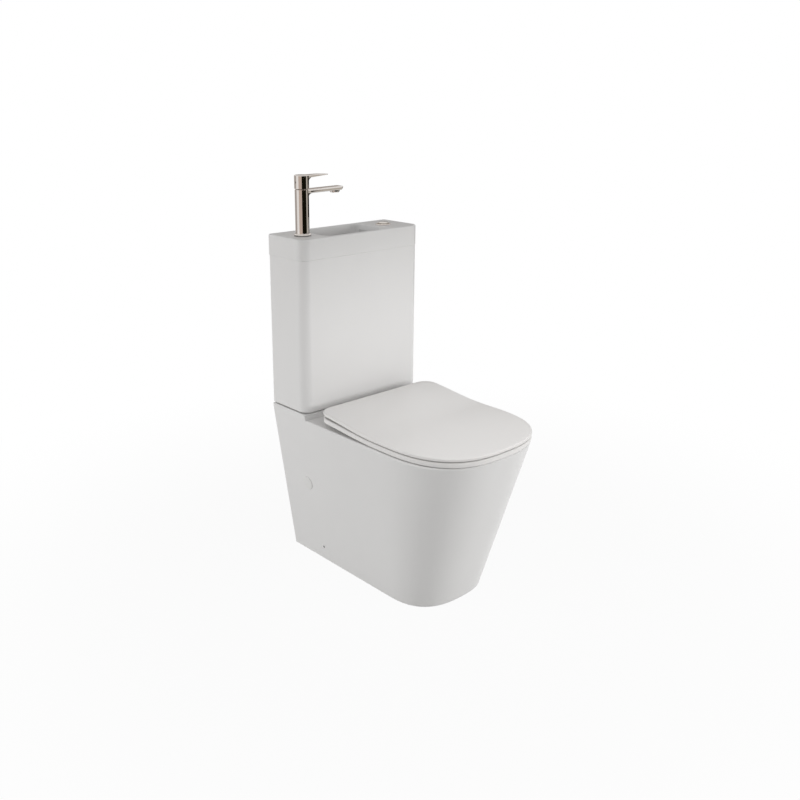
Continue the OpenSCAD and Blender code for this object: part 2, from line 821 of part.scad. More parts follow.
// The basin's cross-section, from front to back.
module basin_cross_section(grow, top) {
  half_d = cistern_depth / 2 - basin_rim_w + grow;
  r = basin_floor_r + grow;
  centre_z = basin_floor_z + basin_floor_r;
  centre = half_d - r * norm([1, basin_lean]) - basin_lean * (lid_top - centre_z);
  lean = atan(basin_lean);
  translate([wall_y - cistern_depth / 2, 0]) polygon(concat(
    [[-half_d, top], [-half_d, lid_top]],
    arc(-centre, centre_z, r, 180 + lean, 270),
    arc(centre, centre_z, r, 270, 360 - lean),
    [[half_d, lid_top], [half_d, top]]));
}

module basin_form(grow, top) {
  front = cistern_depth - basin_rim_w + grow;
  back = basin_rim_w - grow;
  low = basin_floor_z - grow;
  intersection() {
    translate([0, 0, low]) linear_extrude(top - low)
      soft_square(basin_left_x - grow, wall_y - front, basin_right_x + grow, wall_y - back,
        basin_corner_r + grow, basin_corner_r + grow);
    translate([0, wall_y, 0]) rotate([90, 0, 0]) linear_extrude(cistern_depth)
      basin_long_section(grow, top);
    rotate([90, 0, 90]) translate([0, 0, -cistern_w / 2]) linear_extrude(cistern_w)
      basin_cross_section(grow, top);
  }
}

module cistern_lid() {
  lip_t = 6;
  lip_shelf = 8;
  inner = lid_overhang + tank_wall;
  color(ceramic) difference() {
    union() {
      difference() {
        union() {
          soft_block(cistern_w / 2, 0, cistern_depth, tank_top, lid_top,
            cistern_corner_r, cistern_back_r, 0, lid_edge_r);
          soft_block(cistern_w / 2 - inner - lip_play, inner + lip_play,
            cistern_depth - inner - lip_play, tank_top - lip_depth, tank_top + slack,
            inner_corner_r, 3, 0, 0);
        }
        soft_block(cistern_w / 2 - inner - lip_play - lip_t, inner + lip_play + lip_t,
          cistern_depth - inner - lip_play - lip_t, tank_top - lip_depth - slack,
          tank_top + lip_shelf + slack, 5, 3, 0, 0);
        soft_block(cistern_w / 2 - inner, inner, cistern_depth - inner,
          tank_top + lip_shelf, lid_top - lid_top_t, 10, 3, 0, 0);
      }
      basin_form(basin_t, lid_top - lid_edge_r - slack);
    }
    basin_form(0, lid_top + slack);
    at(tap_x, tap_reach, tank_top) cylinder(d = tap_hole_d, h = basin_lid_h + slack);
    at(button_x, button_reach, tank_top) cylinder(d = button_barrel_d + 2, h = basin_lid_h + slack);
    at(waste_x, cistern_depth / 2, basin_floor_z - 2 * basin_t)
      cylinder(d = waste_tail_d + 2, h = 3 * basin_t);
  }
}

waste_flange_t = 3;
strainer_t = 1.6;

module basin_waste() {
  color(chrome) at(waste_x, cistern_depth / 2, basin_floor_z) difference() {
    union() {
      cylinder(d1 = waste_flange_d, d2 = waste_flange_d - 3, h = waste_flange_t);
      translate([0, 0, -basin_t - waste_tail_len])
        cylinder(d = waste_tail_d, h = basin_t + waste_tail_len + slack);
    }
    translate([0, 0, -basin_t - waste_tail_len - slack])
      cylinder(d = waste_tail_d - 5, h = basin_t + waste_tail_len + 9);
    translate([0, 0, waste_flange_t - strainer_t - 0.4]) cylinder(d = waste_tail_d + 3, h = 9);
  }
}

module waste_strainer() {
  hole_d = 4;
  color(chrome) at(waste_x, cistern_depth / 2, basin_floor_z + waste_flange_t - strainer_t - 0.4)
    difference() {
      cylinder(d = waste_tail_d + 2.8, h = strainer_t);
      translate([0, 0, -slack]) cylinder(d = hole_d, h = 4);
      for (turn = [0:60:300]) rotate(turn) translate([6.5, 0, -slack]) cylinder(d = hole_d, h = 4);
      for (turn = [0:30:330]) rotate(turn + 15) translate([11.2, 0, -slack])
        cylinder(d = hole_d - 0.5, h = 4);
    }
}

waste_washer_t = 4;

module waste_washer() {
  color(black_rubber) at(waste_x, cistern_depth / 2, basin_floor_z - basin_t - waste_washer_t)
    tube(waste_tail_d + 14, waste_tail_d + 0.4, waste_washer_t);
}

module waste_nut() {
  nut_h = 9;
  color(white_plastic) at(waste_x, cistern_depth / 2, basin_floor_z - basin_t - waste_washer_t - nut_h)
    hex_nut(waste_tail_d + 10, waste_tail_d + 0.4, nut_h);
}

// ---- Tap: every height is above the top of the cistern lid ----

tap_gasket_t = 1;
tap_shank_d = 27;
tap_shank_len = 52;
dome_r = norm([tap_d / 2, tap_shoulder_h - lever_pivot_h]);
chamber_d = tap_d - 6.2;
chamber_floor_h = lever_pivot_h - 24;
handle_d = tap_d + 1.4;
handle_low_h = tap_shoulder_h + 2;

module at_tap(h) {
  at(tap_x, tap_reach, lid_top + h) children();
}

// The spout's side view: flat top, bevelled tip, and a round into the body underneath.
module spout_side() {
  fillet_r = 13;
  low_h = spout_top_h - spout_t;
  root_h = low_h - 2.5;
  polygon(concat(
    [[0, spout_top_h], [spout_reach - 2, spout_top_h - 0.8], [spout_reach, spout_top_h - 1.8],
    [spout_reach - 6, low_h + 1.2], [spout_reach - 9.5, low_h]],
    [for (i = [0:6]) let (a = 90 + 15 * i)
      [tap_d / 2 + fillet_r + fillet_r * cos(a), root_h - fillet_r + fillet_r * sin(a)]],
    [[0, root_h - fillet_r]]));
}

module spout() {
  intersection() {
    translate([0, spout_w / 2, 0]) rotate([90, 0, 0]) linear_extrude(spout_w) spout_side();
    translate([0, 0, chamber_floor_h]) linear_extrude(60) rotate(90)
      soft_square(-spout_w / 2, -spout_reach, spout_w / 2, 1, 8, 0);
    rotate([90, 0, 90]) linear_extrude(spout_reach)
      soft_square(-spout_w / 2, chamber_floor_h, spout_w / 2, spout_top_h, 0, 3.5);
  }
}

module tap_body() {
  foot_h = tap_gasket_t;
  waterway_d = 9;
  aerator_seat_h = 5;
  color(chrome) at_tap(0) difference() {
    union() {
      intersection() {
        translate([0, 0, foot_h]) cylinder(d = tap_d, h = lever_pivot_h + dome_r);
        union() {
          translate([0, 0, lever_pivot_h]) sphere(dome_r);
          cylinder(d = tap_d + 10, h = lever_pivot_h);
        }
      }
      spout();
      translate([0, 0, -tap_shank_len]) cylinder(d = tap_shank_d, h = tap_shank_len + foot_h + slack);
    }
    translate([0, 0, chamber_floor_h]) cylinder(d = chamber_d, h = tap_h);
    translate([0, 0, -tap_shank_len - slack]) cylinder(d = waterway_d, h = tap_shank_len + tap_h);
    translate([chamber_d / 2 - 2, 0, spout_top_h - spout_t / 2 - 1]) rotate([0, 90, 0])
      cylinder(d = spout_t - 4, h = aerator_offset - chamber_d / 2 + 2);
    translate([aerator_offset, 0, spout_top_h - spout_t - slack])
      cylinder(d = aerator_d - 2, h = aerator_seat_h + slack);
    translate([aerator_offset, 0, spout_top_h - spout_t - 4]) cylinder(d = aerator_d + 0.2, h = 4);
  }
}

module tap_flange() {
  color(chrome) at_tap(tap_gasket_t) difference() {
    union() {
      cylinder(d = tap_flange_d, h = tap_flange_h - 1.5);
      translate([0, 0, tap_flange_h - 1.5]) cylinder(d1 = tap_flange_d, d2 = tap_flange_d - 3, h = 1.5);
    }
    translate([0, 0, -slack]) cylinder(d = tap_d + 0.2, h = tap_flange_h + 2 * slack);
  }
}

module tap_gasket() {
  color(black_rubber) at_tap(0) tube(tap_flange_d - 0.6, tap_shank_d + 0.4, tap_gasket_t);
}

module tap_fixing_washer() {
  color(black_rubber) at_tap(-lid_top_t - 3) tube(tap_hole_d + 9, tap_shank_d + 0.4, 3);
}

module tap_fixing_nut() {
  color(brass) at_tap(-lid_top_t - 3 - 8) hex_nut(tap_shank_d + 10, tap_shank_d + 0.2, 8);
}

cartridge_d = chamber_d - 0.4;
yoke_d = cartridge_d - 7;
cartridge_top_h = lever_pivot_h + 4;

// The fixed cup of the valve cartridge, with its two water ports.
module tap_cartridge() {
  floor_t = 9;
  color(white_plastic) at_tap(chamber_floor_h) difference() {
    cylinder(d = cartridge_d, h = cartridge_top_h - chamber_floor_h);
    translate([0, 0, floor_t]) cylinder(d = yoke_d + 2 * sheet, h = 40);
    translate([0, 0, -slack]) cylinder(d = 6, h = floor_t + 2 * slack);
    for (side = [-1, 1]) translate([0, side * 6.5, -slack]) cylinder(d = 4, h = floor_t + 2 * slack);
  }
}

stem_d = 7;
stem_pin_d = 3;

// The part of the cartridge that turns with the lever. It carries the lever's pivot pin.
module cartridge_yoke() {
  low_h = chamber_floor_h + 9 + sheet;
  color(grey_plastic) at_tap(0) {
    difference() {
      translate([0, 0, low_h]) cylinder(d = yoke_d, h = cartridge_top_h - low_h);
      translate([-yoke_d, -stem_d / 2 - sheet, lever_pivot_h - 7])
        cube([2 * yoke_d, stem_d + 2 * sheet, 20]);
    }
    translate([0, yoke_d / 2 - 2, lever_pivot_h]) rotate([90, 0, 0])
      cylinder(d = stem_pin_d, h = yoke_d - 4);
  }
}

module cartridge_nut() {
  color(brass) at_tap(cartridge_top_h) tube(cartridge_d, yoke_d, 5);
}

module tap_stem() {
  foot_h = 6;
  color(steel) at_tap(0) difference() {
    union() {
      translate([0, 0, lever_pivot_h]) cylinder(d = stem_d - 1, h = tap_h - 12 - lever_pivot_h);
      translate([0, 0, lever_pivot_h]) rotate([90, 0, 0])
        cylinder(d = stem_d, h = stem_d - 1, center = true);
    }
    translate([0, foot_h, lever_pivot_h]) rotate([90, 0, 0])
      cylinder(d = stem_pin_d + 2 * pin_play, h = 2 * foot_h);
  }
}

// The lever's side view: it leaves the handle's top and droops, with a round underneath.
module lever_side() {
  fillet_r = 9;
  root_x = handle_d / 2;
  low_h = tap_h - lever_t - 1.5;
  polygon(concat(
    [[0, tap_h], [root_x, tap_h - 0.6], [lever_reach * 0.6, tap_h - 0.5 * lever_droop],
    [lever_reach, tap_h - lever_droop - 1.2], [lever_reach - 4, tap_h - lever_droop - lever_t * 0.6]],
    [for (i = [0:6]) let (a = 90 + 15 * i)
      [root_x + fillet_r + fillet_r * cos(a), low_h - fillet_r + fillet_r * sin(a)]],
    [[0, low_h - fillet_r]]));
}

module tap_lever() {
  socket_d = stem_d - 0.9;
  shell_gap = 0.4;
  color(chrome) at_tap(0) difference() {
    union() {
      translate([0, 0, handle_low_h]) cylinder(d = handle_d, h = tap_h - 1.5 - handle_low_h);
      translate([0, 0, tap_h - 1.5]) cylinder(d1 = handle_d, d2 = handle_d - 3, h = 1.5);
      intersection() {
        translate([0, lever_root_w / 2, 0]) rotate([90, 0, 0])
          linear_extrude(lever_root_w) lever_side();
        translate([0, 0, tap_shoulder_h]) linear_extrude(60) union() {
          polygon([[0, -lever_root_w / 2], [lever_reach - lever_tip_w / 2, -lever_tip_w / 2],
              [lever_reach - lever_tip_w / 2, lever_tip_w / 2], [0, lever_root_w / 2]]);
          translate([lever_reach - lever_tip_w / 2, 0]) circle(d = lever_tip_w);
        }
      }
    }
    translate([0, 0, lever_pivot_h]) sphere(dome_r + shell_gap);
    translate([0, 0, lever_pivot_h]) cylinder(d = socket_d, h = tap_h - 11.9 - lever_pivot_h);
    translate([-handle_d, 0, tap_h - 16]) rotate([0, 90, 0]) cylinder(d = 4.2, h = handle_d);
  }
}

module lever_screw() {
  color(steel) at_tap(tap_h - 16) translate([-handle_d / 2 + 3, 0, 0]) rotate([0, 90, 0])
    cylinder(d = 4, h = handle_d / 2 - 3 - stem_d / 2);
}

module aerator() {
  lip_h = 2.5;
  color(chrome) at_tap(spout_top_h - spout_t) translate([aerator_offset, 0, 0]) difference() {
    union() {
      translate([0, 0, -lip_h]) cylinder(d1 = aerator_d - 1.4, d2 = aerator_d, h = lip_h);
      cylinder(d = aerator_d - 2.2, h = 4.5);
    }
    for (turn = [0:60:300]) rotate(turn) translate([3.4, 0, -lip_h - slack]) cylinder(d = 2.2, h = 12);
    for (turn = [0:30:330]) rotate(turn) translate([6.9, 0, -lip_h - slack]) cylinder(d = 2.2, h = 12);
  }
}

// ---- Fill valve and the hose from it to the tap ----

fill_washer_t = 3;
fill_shank_d = fill_inlet_d + 1.4;
fill_nut_h = 8;
column_d = 24;
head_d = 38;
head_h = 24;
head_low_z = tank_floor_z + fill_valve_h - head_h;
lever_arm = 38;
fill_pivot_x = -12;
fill_pivot_z = head_low_z + head_h + 9;
rod_x = fill_pivot_x + lever_arm;
rod_d = 3;
lever_half_swing = asin(float_travel / 2 / lever_arm);
hose_low_z = tank_floor_z + 26;
hose_x = -tank_half_w + tank_wall + hose_d / 2 + 9;
hose_reach = cistern_depth - tank_wall - hose_d / 2 - 9;
hose_to_valve = norm([fill_valve_x - hose_x, hose_reach - inlet_reach]);
hose_turn = atan2(hose_reach - inlet_reach, fill_valve_x - hose_x);

module fill_valve() {
  shank_len = 44;
  ear_gap = 9;
  color(white_plastic) at(fill_valve_x, inlet_reach, 0) difference() {
    union() {
      translate([0, 0, tank_z - shank_len]) cylinder(d = fill_inlet_d, h = shank_len);
      translate([0, 0, tank_z - fill_nut_h])
        cylinder(d = fill_shank_d, h = fill_nut_h + tank_wall + fill_washer_t + slack);
      translate([0, 0, tank_floor_z + fill_washer_t]) cylinder(d = fill_shank_d + 16, h = 4);
      translate([0, 0, tank_floor_z + fill_washer_t + 3])
        cylinder(d = column_d, h = head_low_z - tank_floor_z - fill_washer_t);
      translate([0, 0, head_low_z]) cylinder(d = head_d, h = head_h);
      for (side = [-1, 1])
        translate([fill_pivot_x - 4, side * (ear_gap / 2 + 1.5) - 1.5, head_low_z + head_h - slack])
          cube([8, 3, 14 + slack]);
      rotate(180 + hose_turn) translate([0, 0, hose_low_z]) rotate([0, 90, 0])
        cylinder(d = hose_d + 2, h = 20);
    }
    translate([0, 0, tank_z - shank_len - slack]) cylinder(d = 12, h = fill_valve_h);
    translate([fill_pivot_x, 20, fill_pivot_z]) rotate([90, 0, 0])
      cylinder(d = rod_d + 2 * pin_play, h = 40);
    rotate(180 + hose_turn) translate([0, 0, hose_low_z]) rotate([0, 90, 0]) cylinder(d = 7, h = 21);
  }
}

module fill_valve_washer() {
  color(black_rubber) at(fill_valve_x, inlet_reach, tank_floor_z)
    tube(fill_shank_d + 13, fill_shank_d + 0.4, fill_washer_t);
}

module fill_valve_nut() {
  color(white_plastic) at(fill_valve_x, inlet_reach, tank_z - fill_nut_h)
    hex_nut(32, fill_shank_d + 0.2, fill_nut_h);
}

// The float, drawn at the bottom of its travel as in an empty cistern, with its adjusting rod.
module fill_float() {
  float_low_z = head_low_z - float_travel - 18 - float_h;
  pad = 1.6;
  bar_z = fill_pivot_z - float_travel / 2;
  color(grey_plastic) at(fill_valve_x, inlet_reach, 0) {
    difference() {
      translate([0, 0, float_low_z]) cylinder(d = float_d, h = float_h);
      translate([0, 0, float_low_z - slack]) cylinder(d = column_d + 2, h = float_h + 2 * slack);
      translate([0, 0, float_low_z - slack]) difference() {
        cylinder(d = float_d - 5, h = float_h - 2);
        cylinder(d = column_d + 7, h = float_h);
      }
    }
    translate([rod_x, 0, float_low_z + float_h - slack])
      cylinder(d = rod_d, h = bar_z + 9 - float_low_z - float_h + slack);
    for (z = [bar_z - 1.5 - pad - 2, bar_z + 1.5 + pad]) translate([rod_x, 0, z]) cylinder(d = 9, h = 2);
  }
}

module float_lever() {
  color(white_plastic) at(fill_valve_x + fill_pivot_x, inlet_reach, fill_pivot_z)
    rotate([0, lever_half_swing, 0]) {
      difference() {
        union() {
          translate([-4, -4, -1.5]) cube([lever_arm + 9, 8, 3]);
          rotate([90, 0, 0]) cylinder(d = 7, h = 8, center = true);
        }
        translate([lever_arm, 0, -5]) {
          translate([-1.5, -2.3, 0]) cube([3, 4.6, 10]);
          for (side = [-1, 1]) translate([side * 1.5, 0, 0]) cylinder(d = 4.6, h = 10);
        }
      }
      rotate([90, 0, 0]) cylinder(d = rod_d, h = 14.6, center = true);
    }
}

// The hose runs down a front corner of the tank, clear of the float.
module tap_hose() {
  turn_r = 20;
  sway = 50;
  top_z = lid_top - tap_shank_len - bend_lap;
  across = norm([hose_x - tap_x, hose_reach - tap_reach]);
  slant_len = (across - 2 * turn_r * (1 - cos(sway))) / sin(sway);
  slant_drop = 2 * turn_r * sin(sway) + slant_len * cos(sway);
  start_len = 10;
  down_len = top_z - start_len - slant_drop - hose_low_z - turn_r;
  heading = atan2(hose_x - tap_x, hose_reach - tap_reach);
  color(steel) at(tap_x, tap_reach, top_z) rotate([180, 0, 0]) rotate(180 - heading)
    run(hose_d / 2, start_len) bend_up(hose_d / 2, turn_r, sway)
      run(hose_d / 2, slant_len) bend_down(hose_d / 2, turn_r, sway)
        run(hose_d / 2, down_len);
  color(steel) at(hose_x, hose_reach, hose_low_z + turn_r) rotate([180, 0, 0]) rotate(90 - hose_turn)
    bend_up(hose_d / 2, turn_r, 90) run(hose_d / 2, hose_to_valve - turn_r - 20 - 2 * bend_lap);
}

// ---- Flush valve: heights called "rise" are above the tank's floor ----

flush_washer_t = 3;
flush_low_z = tank_z - flush_nut_h - 2.5;
flush_flange_d = cage_d + 18;
cage_bore = cage_d - 6;
lip_rise = 12;
cage_low_rise = 35;
cage_top_rise = 110;
cage_cap_t = 4;
neck_d = 32;
cable_head_x = 28;
cable_spread = 12;

module at_flush(rise) {
  at(0, inlet_reach, tank_floor_z + rise) children();
}

// Upright windows that let the water through a round wall.
module windows(count, width, low, high) {
  for (i = [0:count - 1]) rotate(360 * (i + 0.5) / count)
    translate([0, -width / 2, low]) cube([cage_d, width, high - low]);
}

module flush_valve_washer() {
  color(black_rubber) at_flush(0) tube(flush_flange_d, shank_d + 0.4, flush_washer_t);
}

module flush_valve_base() {
  flange_t = 4;
  cup_low = flush_washer_t + flange_t;
  color(white_plastic) at_flush(0) difference() {
    union() {
      translate([0, 0, flush_washer_t]) cylinder(d = flush_flange_d, h = flange_t);
      translate([0, 0, flush_low_z - tank_floor_z])
        cylinder(d = shank_d, h = tank_floor_z - flush_low_z + lip_rise);
      difference() {
        translate([0, 0, cup_low - slack]) cylinder(d = cage_d, h = cage_low_rise - cup_low + slack);
        translate([0, 0, cup_low]) cylinder(d = cage_bore, h = cage_low_rise);
        windows(6, 22, cup_low + 1, cage_low_rise - 6);
      }
    }
    translate([0, 0, flush_low_z - tank_floor_z - slack]) cylinder(d = shank_d - 8, h = 60);
    translate([0, 0, lip_rise - 2]) difference() {
      cylinder(d = shank_d + slack, h = 2 + slack);
      translate([0, 0, -slack]) cylinder(d = shank_d - 5, h = 5);
    }
  }
}

module flush_valve_nut() {
  color(white_plastic) at(0, inlet_reach, tank_z - flush_nut_h) difference() {
    cylinder(d = shank_d + 20, h = flush_nut_h);
    translate([0, 0, -slack]) cylinder(d = shank_d + 0.2, h = flush_nut_h + 2 * slack);
    for (turn = [0:45:315]) rotate(turn) translate([shank_d / 2 + 7, -4, -slack])
      cube([6, 8, flush_nut_h + 2 * slack]);
  }
}

module flush_valve_cage() {
  color(blue_plastic) at_flush(0) difference() {
    union() {
      translate([0, 0, cage_low_rise])
        cylinder(d = cage_d, h = cage_top_rise + cage_cap_t - cage_low_rise);
      translate([0, 0, cage_top_rise]) cylinder(d = neck_d, h = cage_h - cage_top_rise);
    }
    translate([0, 0, cage_low_rise - slack])
      cylinder(d = cage_bore, h = cage_top_rise - cage_low_rise + slack);
    translate([0, 0, cage_low_rise]) cylinder(d = overflow_d + 1, h = cage_h);
    windows(6, 24, cage_low_rise + 8, cage_top_rise - 8);
    for (turn = [0:60:300]) rotate(turn) translate([cage_bore / 2 - 6, 0, cage_top_rise - slack])
      cylinder(d = 7, h = cage_cap_t + 2 * slack);
  }
}

seal_t = 3;

// The tube that lifts with the seal. Water above its rim runs down through it.
module overflow_tube() {
  plate_t = 3;
  collar_rise = 160;
  color(white_plastic) at_flush(0) difference() {
    union() {
      translate([0, 0, lip_rise - 2]) cylinder(d = overflow_d, h = overflow_h - lip_rise + 2);
      translate([0, 0, lip_rise + seal_t]) cylinder(d = cage_bore - 4, h = plate_t);
      translate([0, 0, collar_rise]) cylinder(d = overflow_d + 10, h = 4);
    }
    translate([0, 0, lip_rise - 2 - slack]) cylinder(d = overflow_d - 4, h = overflow_h);
  }
}

module flush_seal() {
  color(soft_rubber) at_flush(lip_rise) tube(cage_bore - 0.8, overflow_d + 0.2, seal_t);
}

// The head that the cables pull. It sits round the cage's neck.
module cable_head() {
  arm_w = 16;
  head_low = cage_top_rise + cage_cap_t;
  head_height = 26;
  color(blue_plastic) at_flush(head_low) difference() {
    union() {
      cylinder(d = neck_d + 18, h = head_height);
      translate([neck_d / 2, -arm_w / 2, 0]) cube([cable_head_x + 14 - neck_d / 2, arm_w, head_height]);
    }
    translate([0, 0, -slack]) cylinder(d = neck_d + 1, h = head_height + 2 * slack);
  }
}

cable_d = 4;

// The two cables from the buttons' housing to the valve's head, one bent above the other.
module flush_cables() {
  turn_r = 24;
  housing_low_z = lid_top - housing_low;
  head_top_z = tank_floor_z + cage_top_rise + cage_cap_t + 26;
  across = button_x - cable_head_x - 2 * turn_r;
  for (i = [0, 1]) {
    start_len = 8 + cable_spread * i;
    side = cable_spread * (i - 0.5);
    turn_z = housing_low_z - bend_lap - start_len - 2 * turn_r;
    color(grey_plastic) at(button_x + side, inlet_reach, housing_low_z - bend_lap)
      rotate([180, 0, 0]) rotate(-90)
        run(cable_d / 2, start_len) bend_up(cable_d / 2, turn_r, 90)
          run(cable_d / 2, across) bend_down(cable_d / 2, turn_r, 90)
            run(cable_d / 2, turn_z - head_top_z - bend_lap);
  }
}

// ---- Flush buttons: every height is above or below the top of the cistern lid ----

barrel_bore = button_d + 0.4;
ledge_low = 30;
ledge_t = 3;
housing_low = button_barrel_len + 40;
button_skirt = 8;
button_split = 4;
split_gap = 0.6;
button_dome_r = 60;
leg_d = 5;
spring_d = 8;
spring_wire_d = 0.9;
full_leg_x = -4;
half_leg_x = 9.2;

module at_button(h) {
  at(button_x, button_reach, lid_top + h) children();
}

module button_ring() {
  color(chrome) at_button(0) difference() {
    union() {
      cylinder(d = button_ring_d, h = button_ring_h - 1);
      translate([0, 0, button_ring_h - 1]) cylinder(d1 = button_ring_d, d2 = button_ring_d - 2, h = 1);
      translate([0, 0, -button_barrel_len])
        cylinder(d = button_barrel_d, h = button_barrel_len + slack);
    }
    difference() {
      translate([0, 0, -button_barrel_len - slack])
        cylinder(d = barrel_bore, h = button_barrel_len + 9);
      translate([0, 0, -ledge_low]) cylinder(d = button_barrel_d - 1, h = ledge_t);
    }
    for (x = [full_leg_x, half_leg_x]) translate([x, 0, -ledge_low - slack])
      cylinder(d = leg_d + 0.2, h = ledge_t + 2 * slack);
  }
}

module button_nut() {
  nut_h = 8;
  color(white_plastic) at_button(-lid_top_t - nut_h) difference() {
    cylinder(d = button_barrel_d + 18, h = nut_h);
    translate([0, 0, -slack]) cylinder(d = button_barrel_d + 0.2, h = nut_h + 2 * slack);
    for (turn = [0:60:300]) rotate(turn) translate([button_barrel_d / 2 + 6, -4, -slack])
      cube([6, 8, nut_h + 2 * slack]);
  }
}

// The cup under the barrel, where the buttons' legs act on the cables.
module button_housing() {
  wall = 2.9;
  color(white_plastic) at_button(-housing_low) difference() {
    cylinder(d = button_barrel_d + 0.2 + 2 * wall, h = housing_low - ledge_low);
    translate([0, 0, 3]) cylinder(d = barrel_bore, h = housing_low);
    translate([0, 0, housing_low - button_barrel_len])
      cylinder(d = button_barrel_d + 0.2, h = button_barrel_len);
  }
}

// Both buttons before they are parted: a low dome on a skirt.
module button_form() {
  intersection() {
    translate([0, 0, -button_skirt]) cylinder(d = button_d, h = button_skirt + button_rise);
    translate([0, 0, button_rise - button_dome_r]) sphere(button_dome_r);
  }
}

module button_leg(x, length) {
  translate([x, 0, -length]) cylinder(d = leg_d, h = length - button_skirt + slack);
}

module full_flush_button() {
  color(chrome) at_button(0) {
    intersection() {
      button_form();
      translate([-button_d, -button_d, -20]) cube([button_d + button_split, 2 * button_d, 40]);
    }
    button_leg(full_leg_x, 46);
  }
}

module half_flush_button() {
  color(chrome) at_button(0) {
    intersection() {
      button_form();
      translate([button_split + split_gap, -button_d, -20]) cube([button_d, 2 * button_d, 40]);
    }
    button_leg(half_leg_x, 46);
  }
}

// A coil spring standing on the origin, whose wire is skinned along a helix.
module coil_spring(mean_d, wire_d, length, turns) {
  steps = 12;
  count = steps * turns;
  rise = length - wire_d;
  polyhedron(
    points = flatten([for (k = [0:count]) let (a = 360 * k / steps)
      [for (j = [0:3]) let (b = 90 * j + 45, r = mean_d / 2 + wire_d * cos(b) / 2)
        [r * cos(a), r * sin(a), wire_d / 2 + rise * k / count + wire_d * sin(b) / 2]]]),
    faces = concat(
      [[0, 1, 2, 3]],
      flatten([for (k = [0:count - 1]) flatten([for (j = [0:3]) let (n = (j + 1) % 4)
        [[4 * k + j, 4 * k + 4 + j, 4 * k + 4 + n], [4 * k + j, 4 * k + 4 + n, 4 * k + n]]])]),
      [[4 * count + 3, 4 * count + 2, 4 * count + 1, 4 * count]]),
    convexity = 10);
}

module full_button_spring() {
  color(steel) at_button(-ledge_low + ledge_t) translate([full_leg_x, 0, 0])
    coil_spring(spring_d, spring_wire_d, ledge_low - ledge_t - button_skirt, 6);
}

module half_button_spring() {
  color(steel) at_button(-ledge_low + ledge_t) translate([half_leg_x, 0, 0])
    coil_spring(spring_d, spring_wire_d, ledge_low - ledge_t - button_skirt, 6);
}

// ---- Seat and seat lid ----

seat_low_z = rim_h + seat_gap;
seat_high_z = seat_low_z + seat_t;
cover_low_z = seat_high_z + cover_gap;
cover_high_z = cover_low_z + cover_t;
seat_share = (saddle_rise - seat_back_extra) / saddle_rise;
seat_front_reach = seat_reach;
notch_half_w = 18;
notch_x = hinge_half_span + 6.5;
notch_reach = hinge_reach + hinge_post_d / 2 + 8;
hinge_z = rim_h + hinge_h;
hinge_lug_d = 16;
seat_lug_from = 49.5;
seat_lug_to = 67;
lid_lug_from = 88;
lid_lug_to = 98;

function cover_plan(inset) = seat_plan(seat_half_w - inset, seat_back_reach + inset,
  seat_corner_r - inset, seat_curve - inset, seat_front_reach - inset);

function seat_hole_plan(grow) = seat_plan(seat_hole_half_w + grow, seat_hole_back - grow,
  seat_hole_half_w * 0.62 + grow, seat_curve - 60 + grow, seat_front_reach - seat_front_w + grow);

module pin_bores(from_x, to_x) {
  pair() at(0, hinge_reach, hinge_z) cross_rod(hinge_pin_d + 2 * pin_play, from_x, to_x);
}

module hinge_notches(low, high) {
  pair() at(notch_x - notch_half_w, notch_reach, low)
    cube([2 * notch_half_w, notch_reach, high - low]);
}

module seat_lid() {
  low_r = 1.5;
  high_r = 2.5;
  color(white_plastic) difference() {
    union() {
      skin(concat(
        [for (a = [0, 45, 90]) wave_ring(cover_plan(low_r * (1 - sin(a))),
          cover_low_z + low_r * (1 - cos(a)), 1)],
        [for (a = [0:30:90]) wave_ring(cover_plan(high_r * (1 - cos(a))),
          cover_high_z - high_r * (1 - sin(a)), 1)]));
      pair() at(lid_lug_from, hinge_reach, hinge_z) {
        cross_rod(hinge_lug_d, 0, lid_lug_to - lid_lug_from);
        translate([0, -hinge_lug_d / 2, 0])
          cube([lid_lug_to - lid_lug_from, hinge_lug_d, cover_low_z + saddle_rise - hinge_z + 2]);
      }
    }
    pin_bores(lid_lug_from - slack, lid_lug_to + slack);
  }
}

module seat() {
  low_r = 2.5;
  high_r = 2;
  function outer(low, inset) = wave_ring(cover_plan(inset + 0.5), low, seat_share);
  function inner(low, grow) = wave_ring(seat_hole_plan(grow), low, seat_share);
  color(white_plastic) difference() {
    union() {
      skin_ring(concat(
        [for (a = [0:45:90]) outer(seat_low_z + low_r * (1 - cos(a)), low_r * (1 - sin(a)))],
        [for (a = [0:45:90]) outer(seat_high_z - high_r * (1 - sin(a)), high_r * (1 - cos(a)))],
        [for (a = [90:-45:0]) inner(seat_high_z - high_r * (1 - sin(a)), high_r * (1 - cos(a)))],
        [for (a = [90:-45:0]) inner(seat_low_z + low_r * (1 - cos(a)), low_r * (1 - sin(a)))]));
      pair() at(seat_lug_from, hinge_reach, hinge_z)
        cross_rod(hinge_lug_d, 0, seat_lug_to - seat_lug_from);
    }
    pin_bores(seat_lug_from - slack, seat_lug_to + 4);
    hinge_notches(rim_h, cover_high_z + saddle_rise);
  }
}

buffer_d = 14;
front_buffer_x = 70;
front_buffer_reach = 556;

module seat_buffers() {
  color(soft_rubber) pair() {
    at(158, 400, rim_h + sheet) cylinder(d = buffer_d, h = seat_gap - sheet);
    at(55, seat_front_reach - 23, rim_h + sheet) cylinder(d = buffer_d, h = seat_gap - sheet);
  }
}

module lid_buffers() {
  color(soft_rubber) pair() {
    at(147, 400, seat_high_z + sheet) cylinder(d = buffer_d, h = cover_gap - sheet);
    at(front_buffer_x, seat_front_reach - 36, seat_high_z + sheet)
      cylinder(d = buffer_d, h = cover_gap - sheet);
  }
}

// ---- Seat hinge ----

